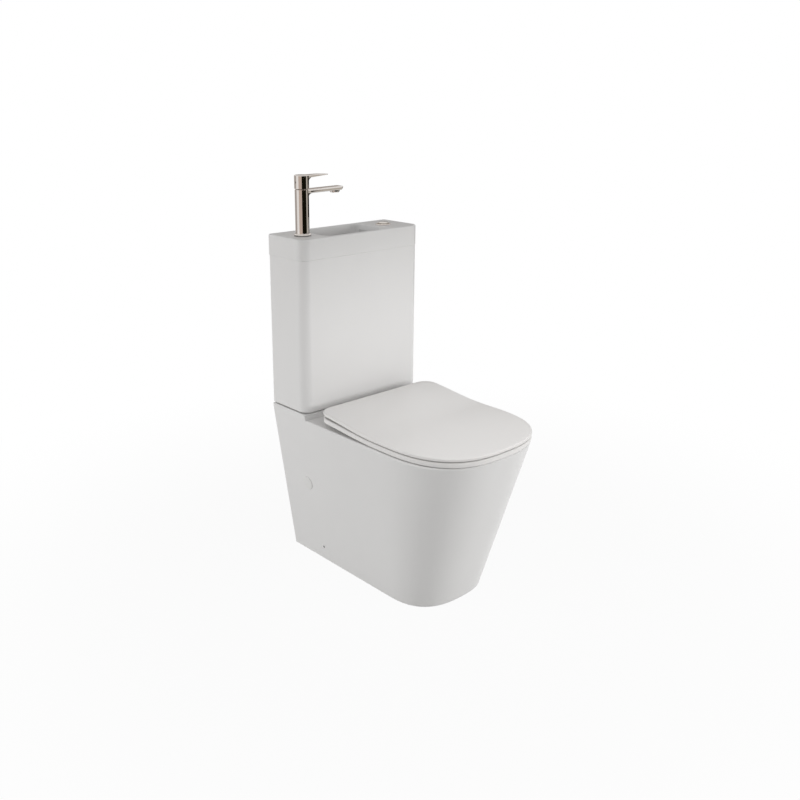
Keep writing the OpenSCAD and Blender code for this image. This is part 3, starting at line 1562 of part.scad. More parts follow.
module hinge_posts() {
  base_t = 3;
  color(chrome) pair() difference() {
    at(hinge_half_span, hinge_reach, rim_h) {
      cylinder(d = hinge_post_d + 7, h = base_t);
      cylinder(d = hinge_post_d, h = hinge_h + hinge_pin_d / 2 + 1);
      translate([0, 0, hinge_h + hinge_pin_d / 2 + 1])
        cylinder(d1 = hinge_post_d, d2 = hinge_post_d - 2, h = 1);
    }
    at(0, hinge_reach, hinge_z)
      cross_rod(hinge_pin_d + 0.1, hinge_half_span - hinge_post_d, hinge_half_span + hinge_post_d);
  }
}

module hinge_pins() {
  color(steel) pair() at(0, hinge_reach, hinge_z) cross_rod(hinge_pin_d, seat_lug_from + 0.5, lid_lug_to);
}

module hinge_studs() {
  stud_d = 8;
  drop = 58;
  color(steel) pair() at(hinge_half_span, hinge_reach, rim_h - drop) cylinder(d = stud_d, h = drop);
}

module hinge_sleeves() {
  sleeve_d = 13.6;
  nut_h = 9;
  low = rim_h - deck_t - nut_h;
  color(white_plastic) pair() at(hinge_half_span, hinge_reach, low) difference() {
    union() {
      cylinder(d = sleeve_d, h = nut_h + deck_t - 1);
      hex(22, nut_h);
    }
    translate([0, 0, -slack]) cylinder(d = 8.2, h = 60);
  }
}

pan();
pan_bowl();
pan_trap();
pan_duct();
side_caps();
side_screws();
floor_brackets();
outlet_connector();
outlet_seal();
cistern_tank();
sealing_ring();
coupling_bolts();
coupling_washers();
coupling_nuts();
cistern_lid();
basin_waste();
waste_strainer();
waste_washer();
waste_nut();
tap_body();
tap_flange();
tap_gasket();
tap_cartridge();
cartridge_yoke();
cartridge_nut();
tap_stem();
tap_lever();
lever_screw();
aerator();
tap_fixing_washer();
tap_fixing_nut();
tap_hose();
fill_valve();
fill_valve_washer();
fill_valve_nut();
fill_float();
float_lever();
flush_valve_base();
flush_valve_washer();
flush_valve_nut();
flush_valve_cage();
overflow_tube();
flush_seal();
cable_head();
flush_cables();
button_ring();
button_nut();
button_housing();
full_flush_button();
half_flush_button();
full_button_spring();
half_button_spring();
seat();
seat_lid();
seat_buffers();
lid_buffers();
hinge_posts();
hinge_pins();
hinge_studs();
hinge_sleeves();
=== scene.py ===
"""Looks of a back-to-wall toilet whose cistern lid is a hand basin.

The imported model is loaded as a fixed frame. The pieces that show are rebuilt as smooth
castings, mouldings and turned parts in the same frame, and every piece gets a procedural finish.
Sizes are written in millimetres, and "reach" is a distance forwards from the wall.
"""

import json
import logging
import math
from collections.abc import Callable, Iterable, Sequence
from dataclasses import dataclass, field
from enum import Enum

import bmesh
import bpy
import numpy as np
from mathutils import Matrix, Vector


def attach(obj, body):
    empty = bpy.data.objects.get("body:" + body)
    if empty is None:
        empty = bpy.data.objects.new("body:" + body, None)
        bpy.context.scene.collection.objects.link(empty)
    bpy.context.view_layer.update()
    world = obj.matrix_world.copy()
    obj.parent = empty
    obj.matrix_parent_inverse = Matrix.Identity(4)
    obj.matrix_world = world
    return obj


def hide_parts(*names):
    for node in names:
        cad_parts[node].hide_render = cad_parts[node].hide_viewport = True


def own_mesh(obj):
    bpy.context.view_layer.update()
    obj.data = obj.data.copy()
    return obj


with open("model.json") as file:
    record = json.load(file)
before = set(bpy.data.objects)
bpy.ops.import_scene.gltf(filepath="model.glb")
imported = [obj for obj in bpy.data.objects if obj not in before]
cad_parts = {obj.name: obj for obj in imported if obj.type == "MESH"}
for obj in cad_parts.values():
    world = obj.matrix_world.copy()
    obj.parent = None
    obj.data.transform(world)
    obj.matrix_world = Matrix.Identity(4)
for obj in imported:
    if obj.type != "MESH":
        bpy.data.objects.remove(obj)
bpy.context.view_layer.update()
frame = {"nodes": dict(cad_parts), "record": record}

LOG = logging.getLogger("toilet")
MM = 0.001
WALL_Y = 296.0
LID_TOP = 820.7
ROOT = "toilet"
# Places that several castings share. An x is across from the middle, and a reach is from the wall.
INLET_REACH = 66.0
FILL_X = -122.0
BOLT_X = 76.0
HINGE_X, HINGE_REACH = 77.5, 183.0
TAP_X, TAP_REACH = -140.0, 76.0
BUTTON_X, BUTTON_REACH = 120.0, 68.0
WASTE_X = -44.0
Point2 = tuple[float, float]
Ring = np.ndarray
Solid = bpy.types.Object
Socket = bpy.types.NodeSocket
Tree = bpy.types.NodeTree
Material = bpy.types.Material


# ---------------------------------------------------------------- colours and nodes


def linear(hex_colour: str) -> tuple[float, float, float, float]:
    """Turns an sRGB hex colour into linear light.

    Args:
        hex_colour: Six hex digits with a leading hash.

    Returns:
        Red, green, blue and an alpha of one.
    """
    values = [int(hex_colour[i : i + 2], 16) / 255 for i in (1, 3, 5)]
    light = [v / 12.92 if v <= 0.04045 else ((v + 0.055) / 1.055) ** 2.4 for v in values]
    return (light[0], light[1], light[2], 1.0)


def add_node(
    tree: Tree,
    kind: str,
    settings: dict[str, object] | None = None,
    values: dict[str | int, object] | None = None,
    links: dict[str | int, Socket] | None = None,
) -> bpy.types.Node:
    """Adds one node with its settings, socket values and incoming links.

    Args:
        tree: The node tree that takes the node.
        kind: The node's Blender type.
        settings: Attributes of the node itself.
        values: Default values by input name or number.
        links: Sockets to connect, by input name or number.

    Returns:
        The new node.
    """
    node = tree.nodes.new(kind)
    for key, value in (settings or {}).items():
        setattr(node, key, value)
    for key, value in (values or {}).items():
        node.inputs[key].default_value = value
    for key, socket in (links or {}).items():
        tree.links.new(socket, node.inputs[key])
    return node


def shade_of(hex_colour: str, factor: float) -> tuple[float, float, float, float]:
    """Scales a colour's linear light, for the darker or lighter end of a variation."""
    red, green, blue, alpha = linear(hex_colour)
    return (min(1.0, red * factor), min(1.0, green * factor), min(1.0, blue * factor), alpha)


def noise(tree: Tree, where: Socket, size_mm: float, detail: float = 2.0) -> Socket:
    """Adds a noise whose lumps are about as wide as the size given.

    Args:
        tree: The material's node tree.
        where: The coordinates that the noise reads.
        size_mm: Width of one lump in millimetres.
        detail: How many finer layers the noise has.

    Returns:
        The noise's value socket.
    """
    node = add_node(
        tree,
        "ShaderNodeTexNoise",
        values={"Scale": 1.0 / (size_mm * MM), "Detail": detail, "Roughness": 0.5},
        links={"Vector": where},
    )
    return node.outputs[0]


class Finish:
    """What every finish shares: a material with one shader, read in Object coordinates."""

    name: str
    base_hex: str
    roughness: float

    def start(self) -> tuple[Material, Tree, bpy.types.Node, Socket]:
        """Makes an empty material.

        Returns:
            The material, its tree, its main shader and the Object coordinates.
        """
        material = bpy.data.materials.new(self.name)
        material.use_nodes = True
        tree = material.node_tree
        tree.nodes.clear()
        shader = add_node(tree, "ShaderNodeBsdfPrincipled")
        add_node(tree, "ShaderNodeOutputMaterial", links={"Surface": shader.outputs[0]})
        where = add_node(tree, "ShaderNodeTexCoord").outputs["Object"]
        return material, tree, shader, where

    def relief(self, tree: Tree, shader: bpy.types.Node, heights: Sequence[tuple[Socket, float]]) -> None:
        """Stacks bumps on the shader's normal.

        Args:
            tree: The material's node tree.
            shader: The shader that takes the normal.
            heights: Pairs of a height socket and its depth in millimetres.
        """
        normal = None
        for height, depth_mm in heights:
            node = add_node(
                tree,
                "ShaderNodeBump",
                values={"Strength": 1.0, "Distance": depth_mm * MM},
                links={"Height": height} | ({"Normal": normal} if normal else {}),
            )
            normal = node.outputs[0]
        tree.links.new(normal, shader.inputs["Normal"])

    def cover(
        self,
        tree: Tree,
        shader: bpy.types.Node,
        tint: tuple[Socket, float],
        heights: Sequence[tuple[Socket, float]],
        gloss: tuple[Socket, float, float],
        settings: dict[str, float],
    ) -> None:
        """Gives the shader a varied colour, bumps and a varied roughness.

        Args:
            tree: The material's node tree.
            shader: The shader to set up.
            tint: The noise that varies the colour, and the share by which it darkens and lightens.
            heights: Pairs of a height socket and its depth in millimetres.
            gloss: The noise that varies the roughness, and how far down and up it goes.
            settings: The shader's plain values.
        """
        value, spread = tint
        mix = add_node(
            tree,
            "ShaderNodeMix",
            settings={"data_type": "RGBA"},
            values={6: shade_of(self.base_hex, 1 - spread), 7: shade_of(self.base_hex, 1 + spread)},
            links={0: value},
        )
        tree.links.new(mix.outputs[2], shader.inputs["Base Color"])
        self.relief(tree, shader, heights)
        # A noise keeps mostly to the middle of its range, so 0.3 to 0.7 of it spans the roughness.
        value, down, up = gloss
        shine = add_node(
            tree,
            "ShaderNodeMapRange",
            values={1: 0.3, 2: 0.7, 3: self.roughness - down, 4: self.roughness + up},
            links={0: value},
        )
        tree.links.new(shine.outputs[0], shader.inputs["Roughness"])
        for label, setting in settings.items():
            shader.inputs[label].default_value = setting


@dataclass(frozen=True)
class Glaze(Finish):
    """Vitreous china: slip-cast clay fired under a clear-coated white glaze."""

    name: str = "glazed_vitreous_china"
    base_hex: str = "#E4E3E2"
    roughness: float = 0.32
    ripple_mm: float = 14.0

    def material(self) -> Material:
        """Builds the glaze.

        Returns:
            A soft white with slow waves in its gloss, as molten glass leaves it.
        """
        material, tree, shader, where = self.start()
        cloud = noise(tree, where, 90.0, 1.0)
        # The glaze flows before it sets, which leaves ripples about as wide as a thumb.
        flow = noise(tree, where, self.ripple_mm, 1.0)
        # Tiny dimples from gas that leaves the clay, drawn at 1.6 mm so that they show at all.
        dimple = noise(tree, where, 1.6, 0.0)
        melt = noise(tree, where, 60.0, 2.0)
        coat = {"IOR": 1.5, "Coat Weight": 0.15, "Coat Roughness": 0.18, "Coat IOR": 1.52}
        bumps = [(flow, 0.016), (dimple, 0.0012)]
        self.cover(tree, shader, (cloud, 0.012), bumps, (melt, 0.03, 0.04), coat)
        return material


@dataclass(frozen=True)
class Moulding(Finish):
    """A plastic part, injection or compression moulded in a steel tool."""

    name: str
    base_hex: str
    roughness: float
    grain_mm: float
    grain_depth_mm: float
    coat: float = 0.0

    def material(self) -> Material:
        """Builds the plastic.

        Returns:
            An even colour with the tool's grain and faint flow marks in its gloss.
        """
        material, tree, shader, where = self.start()
        flow = noise(tree, where, 55.0, 2.0)
        grain = noise(tree, where, self.grain_mm, 2.0)
        sink = noise(tree, where, 38.0, 0.0)
        coat = {"IOR": 1.49, "Coat Weight": self.coat, "Coat Roughness": 0.12}
        bumps = [(sink, 0.012), (grain, self.grain_depth_mm)]
        self.cover(tree, shader, (flow, 0.015), bumps, (flow, 0.03, 0.04), coat)
        return material


@dataclass(frozen=True)
class Plating(Finish):
    """Chrome plated brass, buffed to a mirror."""

    name: str = "polished_chrome_plate"
    base_hex: str = "#DAD4CF"
    roughness: float = 0.05

    def material(self) -> Material:
        """Builds the plating.

        Returns:
            A warm mirror whose gloss is broken by buffing haze and water-fine waves.
        """
        material, tree, shader, where = self.start()
        haze = noise(tree, where, 9.0, 4.0)
        wave = noise(tree, where, 7.0, 0.0)
        self.cover(tree, shader, (haze, 0.02), [(wave, 0.002)], (haze, 0.02, 0.03), {"Metallic": 1.0})
        return material


class Lay(Enum):
    """Which way the tool marks of a worked metal run."""

    ALONG_X = (0.06, 1.0, 1.0)
    ALONG_Z = (1.0, 1.0, 0.06)


@dataclass(frozen=True)
class WorkedMetal(Finish):
    """Turned or drawn metal that keeps the marks of its tool."""

    name: str
    base_hex: str
    roughness: float
    lay: Lay
    mark_mm: float = 0.8

    def material(self) -> Material:
        """Builds the metal.

        Returns:
            A satin metal with streaks along its lay.
        """
        material, tree, shader, where = self.start()
        stretched = add_node(
            tree, "ShaderNodeMapping", values={"Scale": self.lay.value}, links={"Vector": where}
        ).outputs[0]
        # Tool marks are a few hundredths of a millimetre apart; they are drawn coarser to show.
        streak = noise(tree, stretched, self.mark_mm, 3.0)
        stain = noise(tree, where, 12.0, 3.0)
        self.cover(tree, shader, (stain, 0.06), [(streak, 0.02)], (streak, 0.06, 0.08), {"Metallic": 1.0})
        return material


@dataclass(frozen=True)
class Rubber(Finish):
    """A moulded seal of nitrile rubber or silicone."""

    name: str
    base_hex: str
    roughness: float

    def material(self) -> Material:
        """Builds the rubber.

        Returns:
            A dull skin with a dusty bloom and a fine moulded tooth.
        """
        material, tree, shader, where = self.start()
        bloom = noise(tree, where, 16.0, 4.0)
        tooth = noise(tree, where, 0.9, 1.0)
        sheen = {"Sheen Weight": 0.08}
        self.cover(tree, shader, (bloom, 0.18), [(tooth, 0.05)], (bloom, 0.08, 0.06), sheen)
        return material


@dataclass(frozen=True)
class Braid(Finish):
    """A stainless braid over a rubber hose."""

    name: str = "stainless_braided_hose"
    wire_hex: str = "#B9BBBD"
    gap_hex: str = "#3A3A3C"
    pitch_mm: float = 1.6

    def material(self) -> Material:
        """Builds the braid.

        Returns:
            Bright wires over dark gaps, crossing at a slant on any side of the hose.
        """
        material, tree, shader, where = self.start()
        crossings = []
        for slant in (1.0, -1.0):
            turned = add_node(
                tree,
                "ShaderNodeMapping",
                values={"Rotation": (0.6 * slant, 0.7 * slant, 0.3)},
                links={"Vector": where},
            ).outputs[0]
            wave = add_node(
                tree,
                "ShaderNodeTexWave",
                settings={"wave_profile": "SIN", "bands_direction": "Z"},
                values={"Scale": 0.3142 / (self.pitch_mm * MM), "Distortion": 0.4},
                links={"Vector": turned},
            )
            crossings.append(wave.outputs["Fac"])
        top = add_node(
            tree, "ShaderNodeMath", {"operation": "MAXIMUM"}, links={0: crossings[0], 1: crossings[1]}
        ).outputs[0]
        mix = add_node(
            tree,
            "ShaderNodeMix",
            settings={"data_type": "RGBA"},
            values={6: linear(self.gap_hex), 7: linear(self.wire_hex)},
            links={0: top},
        )
        tree.links.new(mix.outputs[2], shader.inputs["Base Color"])
        self.relief(tree, shader, [(top, 0.25)])
        shader.inputs["Metallic"].default_value = 1.0
        shader.inputs["Roughness"].default_value = 0.34
        return material


class Palette:
    """Every finish of the toilet, made once."""

    def __init__(self) -> None:
        """Builds the materials."""
        white_abs = "#E3E2E0"
        self.china = Glaze().material()
        self.duroplast = Moulding("pressed_duroplast_seat", "#E7E5E3", 0.33, 1.4, 0.004, 0.3).material()
        self.cap = Moulding("moulded_abs_cap", white_abs, 0.32, 1.2, 0.006, 0.1).material()
        self.white = Moulding("moulded_polypropylene_white", "#DDDCD8", 0.42, 0.9, 0.012).material()
        self.grey = Moulding("moulded_acetal_grey", "#9A9DA1", 0.45, 0.9, 0.012).material()
        self.blue = Moulding("moulded_abs_blue", "#5C83AD", 0.4, 0.9, 0.012).material()
        self.chrome = Plating().material()
        # The buttons' chrome is a browner, darker copy of the tap's chrome: its brown is a painted
        # reflection.
        self.chrome_painted_brown_reflection = Plating("plated_abs_button_painted_brown_reflection", "#C8C0B8", 0.09).material()
        self.brass = WorkedMetal("turned_brass", "#C9A85C", 0.36, Lay.ALONG_Z).material()
        self.steel = WorkedMetal("drawn_stainless_steel", "#B4B5B6", 0.37, Lay.ALONG_Z).material()
        self.steel_across = WorkedMetal("drawn_stainless_pin", "#B4B5B6", 0.36, Lay.ALONG_X).material()
        self.black_rubber = Rubber("nitrile_rubber_black", "#26262A", 0.72).material()
        self.soft_rubber = Rubber("silicone_rubber_pale", "#C9C9C6", 0.6).material()
        self.braid = Braid().material()

    def for_slot(self, slot: str) -> Material:
        """Gives the finish of one of the record's material slots.

        Args:
            slot: The slot's name.

        Returns:
            The material that dresses its nodes.
        """
        return {
            "white_ceramic": self.china,
            "cap_plastic": self.cap,
            "white_plastic": self.white,
            "seat_plastic": self.duroplast,
            "chrome": self.chrome,
            "brass": self.brass,
            "steel": self.steel,
            "black_rubber": self.black_rubber,
            "soft_rubber": self.soft_rubber,
            "grey_plastic": self.grey,
            "blue_plastic": self.blue,
        }[slot]


# ---------------------------------------------------------------- shaping


def place(x: float, reach: float, z: float) -> Vector:
    """Gives the point in millimetres that lies at a reach forwards from the wall."""
    return Vector((x, WALL_Y - reach, z))


def span(low: float, high: float, t: float) -> float:
    """Gives the value a share t of the way from low to high."""
    return low + (high - low) * t


def quarter(steps: int) -> list[float]:
    """Gives the angles from zero to a right angle in equal steps."""
    return [math.pi / 2 * k / steps for k in range(steps + 1)]


def whole(half: Sequence[Point2]) -> list[Point2]:
    """Adds the mirror image to half an outline, whose last point lies in the middle."""
    return list(half) + [(-x, reach) for x, reach in reversed(half[:-1])]


def level(outline: Sequence[Point2], height: float | Callable[[float], float]) -> Ring:
    """Lifts an outline of x and reach to a height.

    Args:
        outline: The points of the outline.
        height: One height, or a function that gives the height at a reach.

    Returns:
        The ring's points in millimetres.
    """
    lift = height if callable(height) else lambda _: height
    return np.array([(x, WALL_Y - reach, lift(reach)) for x, reach in outline])


def new_object(name: str, mesh: bpy.types.Mesh) -> Solid:
    """Puts a mesh into the scene under a name.

    Args:
        name: The object's name.
        mesh: Its mesh.

    Returns:
        The new object.
    """
    made = bpy.data.objects.new(name, mesh)
    bpy.context.scene.collection.objects.link(made)
    return made


def from_faces(name: str, points: np.ndarray, faces: Iterable[Sequence[int]]) -> Solid:
    """Makes a closed object from points in millimetres.

    Args:
        name: The object's name.
        points: The corner points.
        faces: Corner numbers of each face.

    Returns:
        The object, with doubles merged and its faces turned outwards.
    """
    mesh = bpy.data.meshes.new(name)
    mesh.from_pydata((np.asarray(points) * MM).tolist(), [], [list(face) for face in faces])
    work = bmesh.new()
    work.from_mesh(mesh)
    bmesh.ops.remove_doubles(work, verts=work.verts, dist=2e-6)
    bmesh.ops.recalc_face_normals(work, faces=work.faces)
    work.to_mesh(mesh)
    work.free()
    return new_object(name, mesh)


def loft(name: str, rings: Sequence[Ring], closed: bool = False, strips: bool = False) -> Solid:
    """Skins a solid over rings that have the same number of points.

    Args:
        name: The object's name.
        rings: The rings in order.
        closed: Joins the last ring to the first, as on a seat's ring.
        strips: Closes the ends with strips from side to side, for ends that aren't flat.

    Returns:
        The closed solid.
    """
    n, count = len(rings[0]), len(rings)
    faces: list[list[int]] = []
    for k in range(count if closed else count - 1):
        here, after = k * n, (k + 1) % count * n
        faces += [[here + i, here + (i + 1) % n, after + (i + 1) % n, after + i] for i in range(n)]
    if not closed:
        for first in (0, (count - 1) * n):
            if strips:
                faces += [
                    [first + i, first + i + 1, first + n - 2 - i, first + n - 1 - i]
                    for i in range((n - 1) // 2 - 1)
                ]
                middle = (n - 1) // 2
                faces.append([first + middle - 1, first + middle, first + middle + 1])
            else:
                faces.append(list(range(first, first + n)))
    return from_faces(name, np.concatenate(rings), faces)


def lathe(name: str, profile: Sequence[Point2], centre: Vector, steps: int = 96) -> Solid:
    """Turns a profile round an upright axis.

    Args:
        name: The object's name.
        profile: Points of radius and height above the centre. It closes on the axis, or on itself.
        centre: The axis's foot in millimetres.
        steps: Facets round the axis.

    Returns:
        The turned solid.
    """
    angles = np.linspace(0, 2 * math.pi, steps, endpoint=False)
    rings = [
        np.column_stack((
            centre.x + r * np.cos(angles),
            centre.y + r * np.sin(angles),
            np.full(steps, centre.z + z),
        ))
        for r, z in profile
    ]
    on_axis = profile[0][0] == 0 and profile[-1][0] == 0
    made = loft(name, rings, closed=not on_axis)
    if on_axis:
        clean_ends(made)
    return made


def clean_ends(made: Solid) -> None:
    """Drops faces of no area that a turned profile leaves on its axis.

    Args:
        made: The turned solid.
    """
    work = bmesh.new()
    work.from_mesh(made.data)
    dead = [face for face in work.faces if face.calc_area() < 1e-14]
    bmesh.ops.delete(work, geom=dead, context="FACES_ONLY")
    bmesh.ops.recalc_face_normals(work, faces=work.faces)
    work.to_mesh(made.data)
    work.free()


def rod(name: str, start: Vector, end: Vector, diameter: float, steps: int = 72) -> Solid:
    """Makes a round bar or a drill between two points in millimetres.

    Args:
        name: The object's name.
        start: Middle of one end.
        end: Middle of the other end.
        diameter: The bar's diameter.
        steps: Facets round the bar.

    Returns:
        The bar.
    """
    return pipe(name, [start, end], diameter / 2, steps)


def upright(x: float, reach: float, low: float, high: float, diameter: float, steps: int = 72) -> Solid:
    """Makes an upright drill between two heights."""
    return rod("drill", place(x, reach, low), place(x, reach, high), diameter, steps)


def pipe(name: str, path: Sequence[Vector], radius: float, steps: int = 72) -> Solid:
    """Sweeps a circle along a path without twist.

    Args:
        name: The object's name.
        path: Points of the middle line in millimetres.
        radius: The circle's radius.
        steps: Facets round the pipe.

    Returns:
        The solid pipe.
    """
    heading = (path[1] - path[0]).normalized()
    side = heading.orthogonal().normalized()
    rings = []
    for i, point in enumerate(path):
        ahead = path[min(i + 1, len(path) - 1)] - path[max(i - 1, 0)]
        turn = heading.rotation_difference(ahead.normalized())
        side = (turn @ side).normalized()
        heading = ahead.normalized()
        up = heading.cross(side)
        rings.append(np.array([
            point + radius * (math.cos(a) * side + math.sin(a) * up)
            for a in (2 * math.pi * k / steps for k in range(steps))
        ]))
    return loft(name, rings)


def bent_path(start: Vector, moves: Sequence[tuple[float, float]], pitch: float = 4.0) -> list[Vector]:
    """Lays a path in an upright plane that faces the side of the toilet.

    Args:
        start: The first point, heading towards the wall.
        moves: Pairs of length and turn in degrees: no turn runs straight, and a positive one climbs.
        pitch: Distance between points on a bend.

    Returns:
        The path's points in millimetres.
    """
    points, angle = [start.copy()], 0.0
    for length, turn in moves:
        steps = max(1, round(length / pitch)) if turn else 1
        for _ in range(steps):
            angle += math.radians(turn) / steps / 2
            points.append(points[-1] + Vector((0, math.cos(angle), math.sin(angle))) * length / steps)
            angle += math.radians(turn) / steps / 2
    return points


def soft_rectangle(
    x_low: float,
    reach_low: float,
    x_high: float,
    reach_high: float,
    r_back: float,
    r_front: float,
    steps: int = 14,
) -> list[Point2]:
    """Draws a rectangle whose back and front corners have their own radii.

    Args:
        x_low: Left side.
        reach_low: Back side.
        x_high: Right side.
        reach_high: Front side.
        r_back: Radius of the back corners.
        r_front: Radius of the front corners.
        steps: Steps along each corner.

    Returns:
        Points of x and reach, round from the back right.
    """
    r_back, r_front = max(r_back, 0.01), max(r_front, 0.01)
    corners = [
        (x_high - r_back, reach_low + r_back, r_back, -90),
        (x_high - r_front, reach_high - r_front, r_front, 0),
        (x_low + r_front, reach_high - r_front, r_front, 90),
        (x_low + r_back, reach_low + r_back, r_back, 180),
    ]
    return [
        (x + r * math.cos(math.radians(a)), reach + r * math.sin(math.radians(a)))
        for x, reach, r, first in corners
        for a in (first + 90 * k / steps for k in range(steps + 1))
    ]


def rounding(radius: float, steps: int = 6, rising: bool = True) -> list[Point2]:
    """Gives the inset and depth of points along a rounded edge.

    Args:
        radius: The edge's radius.
        steps: Steps along the quarter circle.
        rising: Runs from the side of the solid to its top, otherwise the other way.

    Returns:
        Pairs of inset from the side and distance below the top.
    """
    pairs = [(radius * (1 - math.cos(a)), radius * (1 - math.sin(a))) for a in quarter(steps)]
    return pairs if rising else pairs[::-1]


class Work(Enum):
    """How a tool changes the piece that it meets."""

    AWAY = "DIFFERENCE"
    ONTO = "UNION"
    WITHIN = "INTERSECT"


def worked(base: Solid, *steps: tuple[Work, Solid]) -> Solid:
    """Applies cuts and joins to a solid, in order.

    Args:
        base: The solid that is worked on.
        *steps: Pairs of the kind of work and its tool, which is used up.

    Returns:
        The same object with its new mesh.
    """
    for how, tool in steps:
        modifier = base.modifiers.new(tool.name, "BOOLEAN")
        modifier.operation = how.value
        modifier.solver = "MANIFOLD"
        modifier.object = tool
    bpy.context.view_layer.update()
    depsgraph = bpy.context.evaluated_depsgraph_get()
    mesh = bpy.data.meshes.new_from_object(base.evaluated_get(depsgraph))
    old, base.data = base.data, mesh
    base.modifiers.clear()
    bpy.data.meshes.remove(old)
    for _, tool in steps:
        drop(tool)
    open_edges = count_open_edges(mesh)
    if open_edges:
        LOG.warning("%s has %d open edges", base.name, open_edges)
    return base


def count_open_edges(mesh: bpy.types.Mesh) -> int:
    """Counts edges that don't lie between exactly two faces.

    Args:
        mesh: The mesh to look through.

    Returns:
        Their number, which is zero for a closed solid.
    """
    uses = np.zeros(len(mesh.edges), int)
    indices = np.empty(len(mesh.loops), int)
    mesh.loops.foreach_get("edge_index", indices)
    np.add.at(uses, indices, 1)
    return int((uses != 2).sum())


def together(name: str, *solids: Solid) -> Solid:
    """Puts solids that are pressed as one into one object, each with its own closed skin.

    Args:
        name: The object's name.
        solids: The solids, which are used up.

    Returns:
        The object.
    """
    work = bmesh.new()
    for solid in solids:
        work.from_mesh(solid.data)
        drop(solid)
    made = new_object(name, bpy.data.meshes.new(name))
    work.to_mesh(made.data)
    work.free()
    return made


def drop(used: Solid) -> None:
    """Removes a used-up tool and its mesh.

    Args:
        used: The tool.
    """
    mesh = used.data
    bpy.data.objects.remove(used)
    bpy.data.meshes.remove(mesh)


def smooth(piece: Solid, angle: float = 32.0, even: bool = True) -> None:
    """Shades a piece smoothly between its sharp edges.

    Args:
        piece: The object to shade.
        angle: Edges sharper than this many degrees stay crisp.
        even: Lets large flat faces keep their own normal beside a rounded edge.
    """
    piece.data.shade_smooth()
    piece.data.set_sharp_from_angle(angle=math.radians(angle))
    if even:
        modifier = piece.modifiers.new("even_normals", "WEIGHTED_NORMAL")
        modifier.keep_sharp = True
        modifier.weight = 50


def dress(
    piece: Solid,
    material: Material,
    slot: str,
    body: str,
    nodes: Sequence[str] = (),
    angle: float = 32.0,
) -> Solid:
    """Finishes a piece: its shading, its material, its body, and hides the nodes that it stands for.

    Args:
        piece: The finished mesh.
        material: The finish it wears.
        slot: The record's slot of that finish; not used.
        body: The body that the piece rides on.
        nodes: The nodes that it replaces.
        angle: Edges sharper than this many degrees stay crisp.

    Returns:
        The same piece.
    """
    piece.data.materials.clear()
    piece.data.materials.append(material)
    smooth(piece, angle)
    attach(piece, body)
    if nodes:
        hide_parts(*nodes)
    LOG.info("%s: %d faces on %s", piece.name, len(piece.data.polygons), body)
    return piece


def node_copy(node: str, name: str) -> Solid:
    """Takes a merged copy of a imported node's mesh, so that it can be shaded smoothly.

    Args:
        node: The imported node.
        name: The copy's name.

    Returns:
        The copy as a new object.
    """
    mesh = frame["nodes"][node].data.copy()
    mesh.name = name
    work = bmesh.new()
    work.from_mesh(mesh)
    bmesh.ops.remove_doubles(work, verts=work.verts, dist=4e-6)
    bmesh.ops.dissolve_degenerate(work, edges=work.edges, dist=1e-6)
    work.to_mesh(mesh)
    work.free()
    return new_object(name, mesh)


# ---------------------------------------------------------------- the pan


def super_front(half_w: float, front: float, curve: float, power: float, steps: int) -> list[Point2]:
    """Draws half of a superelliptic front, from its side to its middle.

    Args:
        half_w: Half the width.
        front: Reach of the tip.
        curve: Length of the curved part.
        power: The superellipse's power.
        steps: Steps along the half.

    Returns:
        Points of x and reach.
    """
    return [
        (half_w * max(0.0, math.cos(a)) ** (2 / power), front - curve * (1 - math.sin(a) ** (2 / power)))
        for a in quarter(steps)[:-1]
    ] + [(0.0, front)]


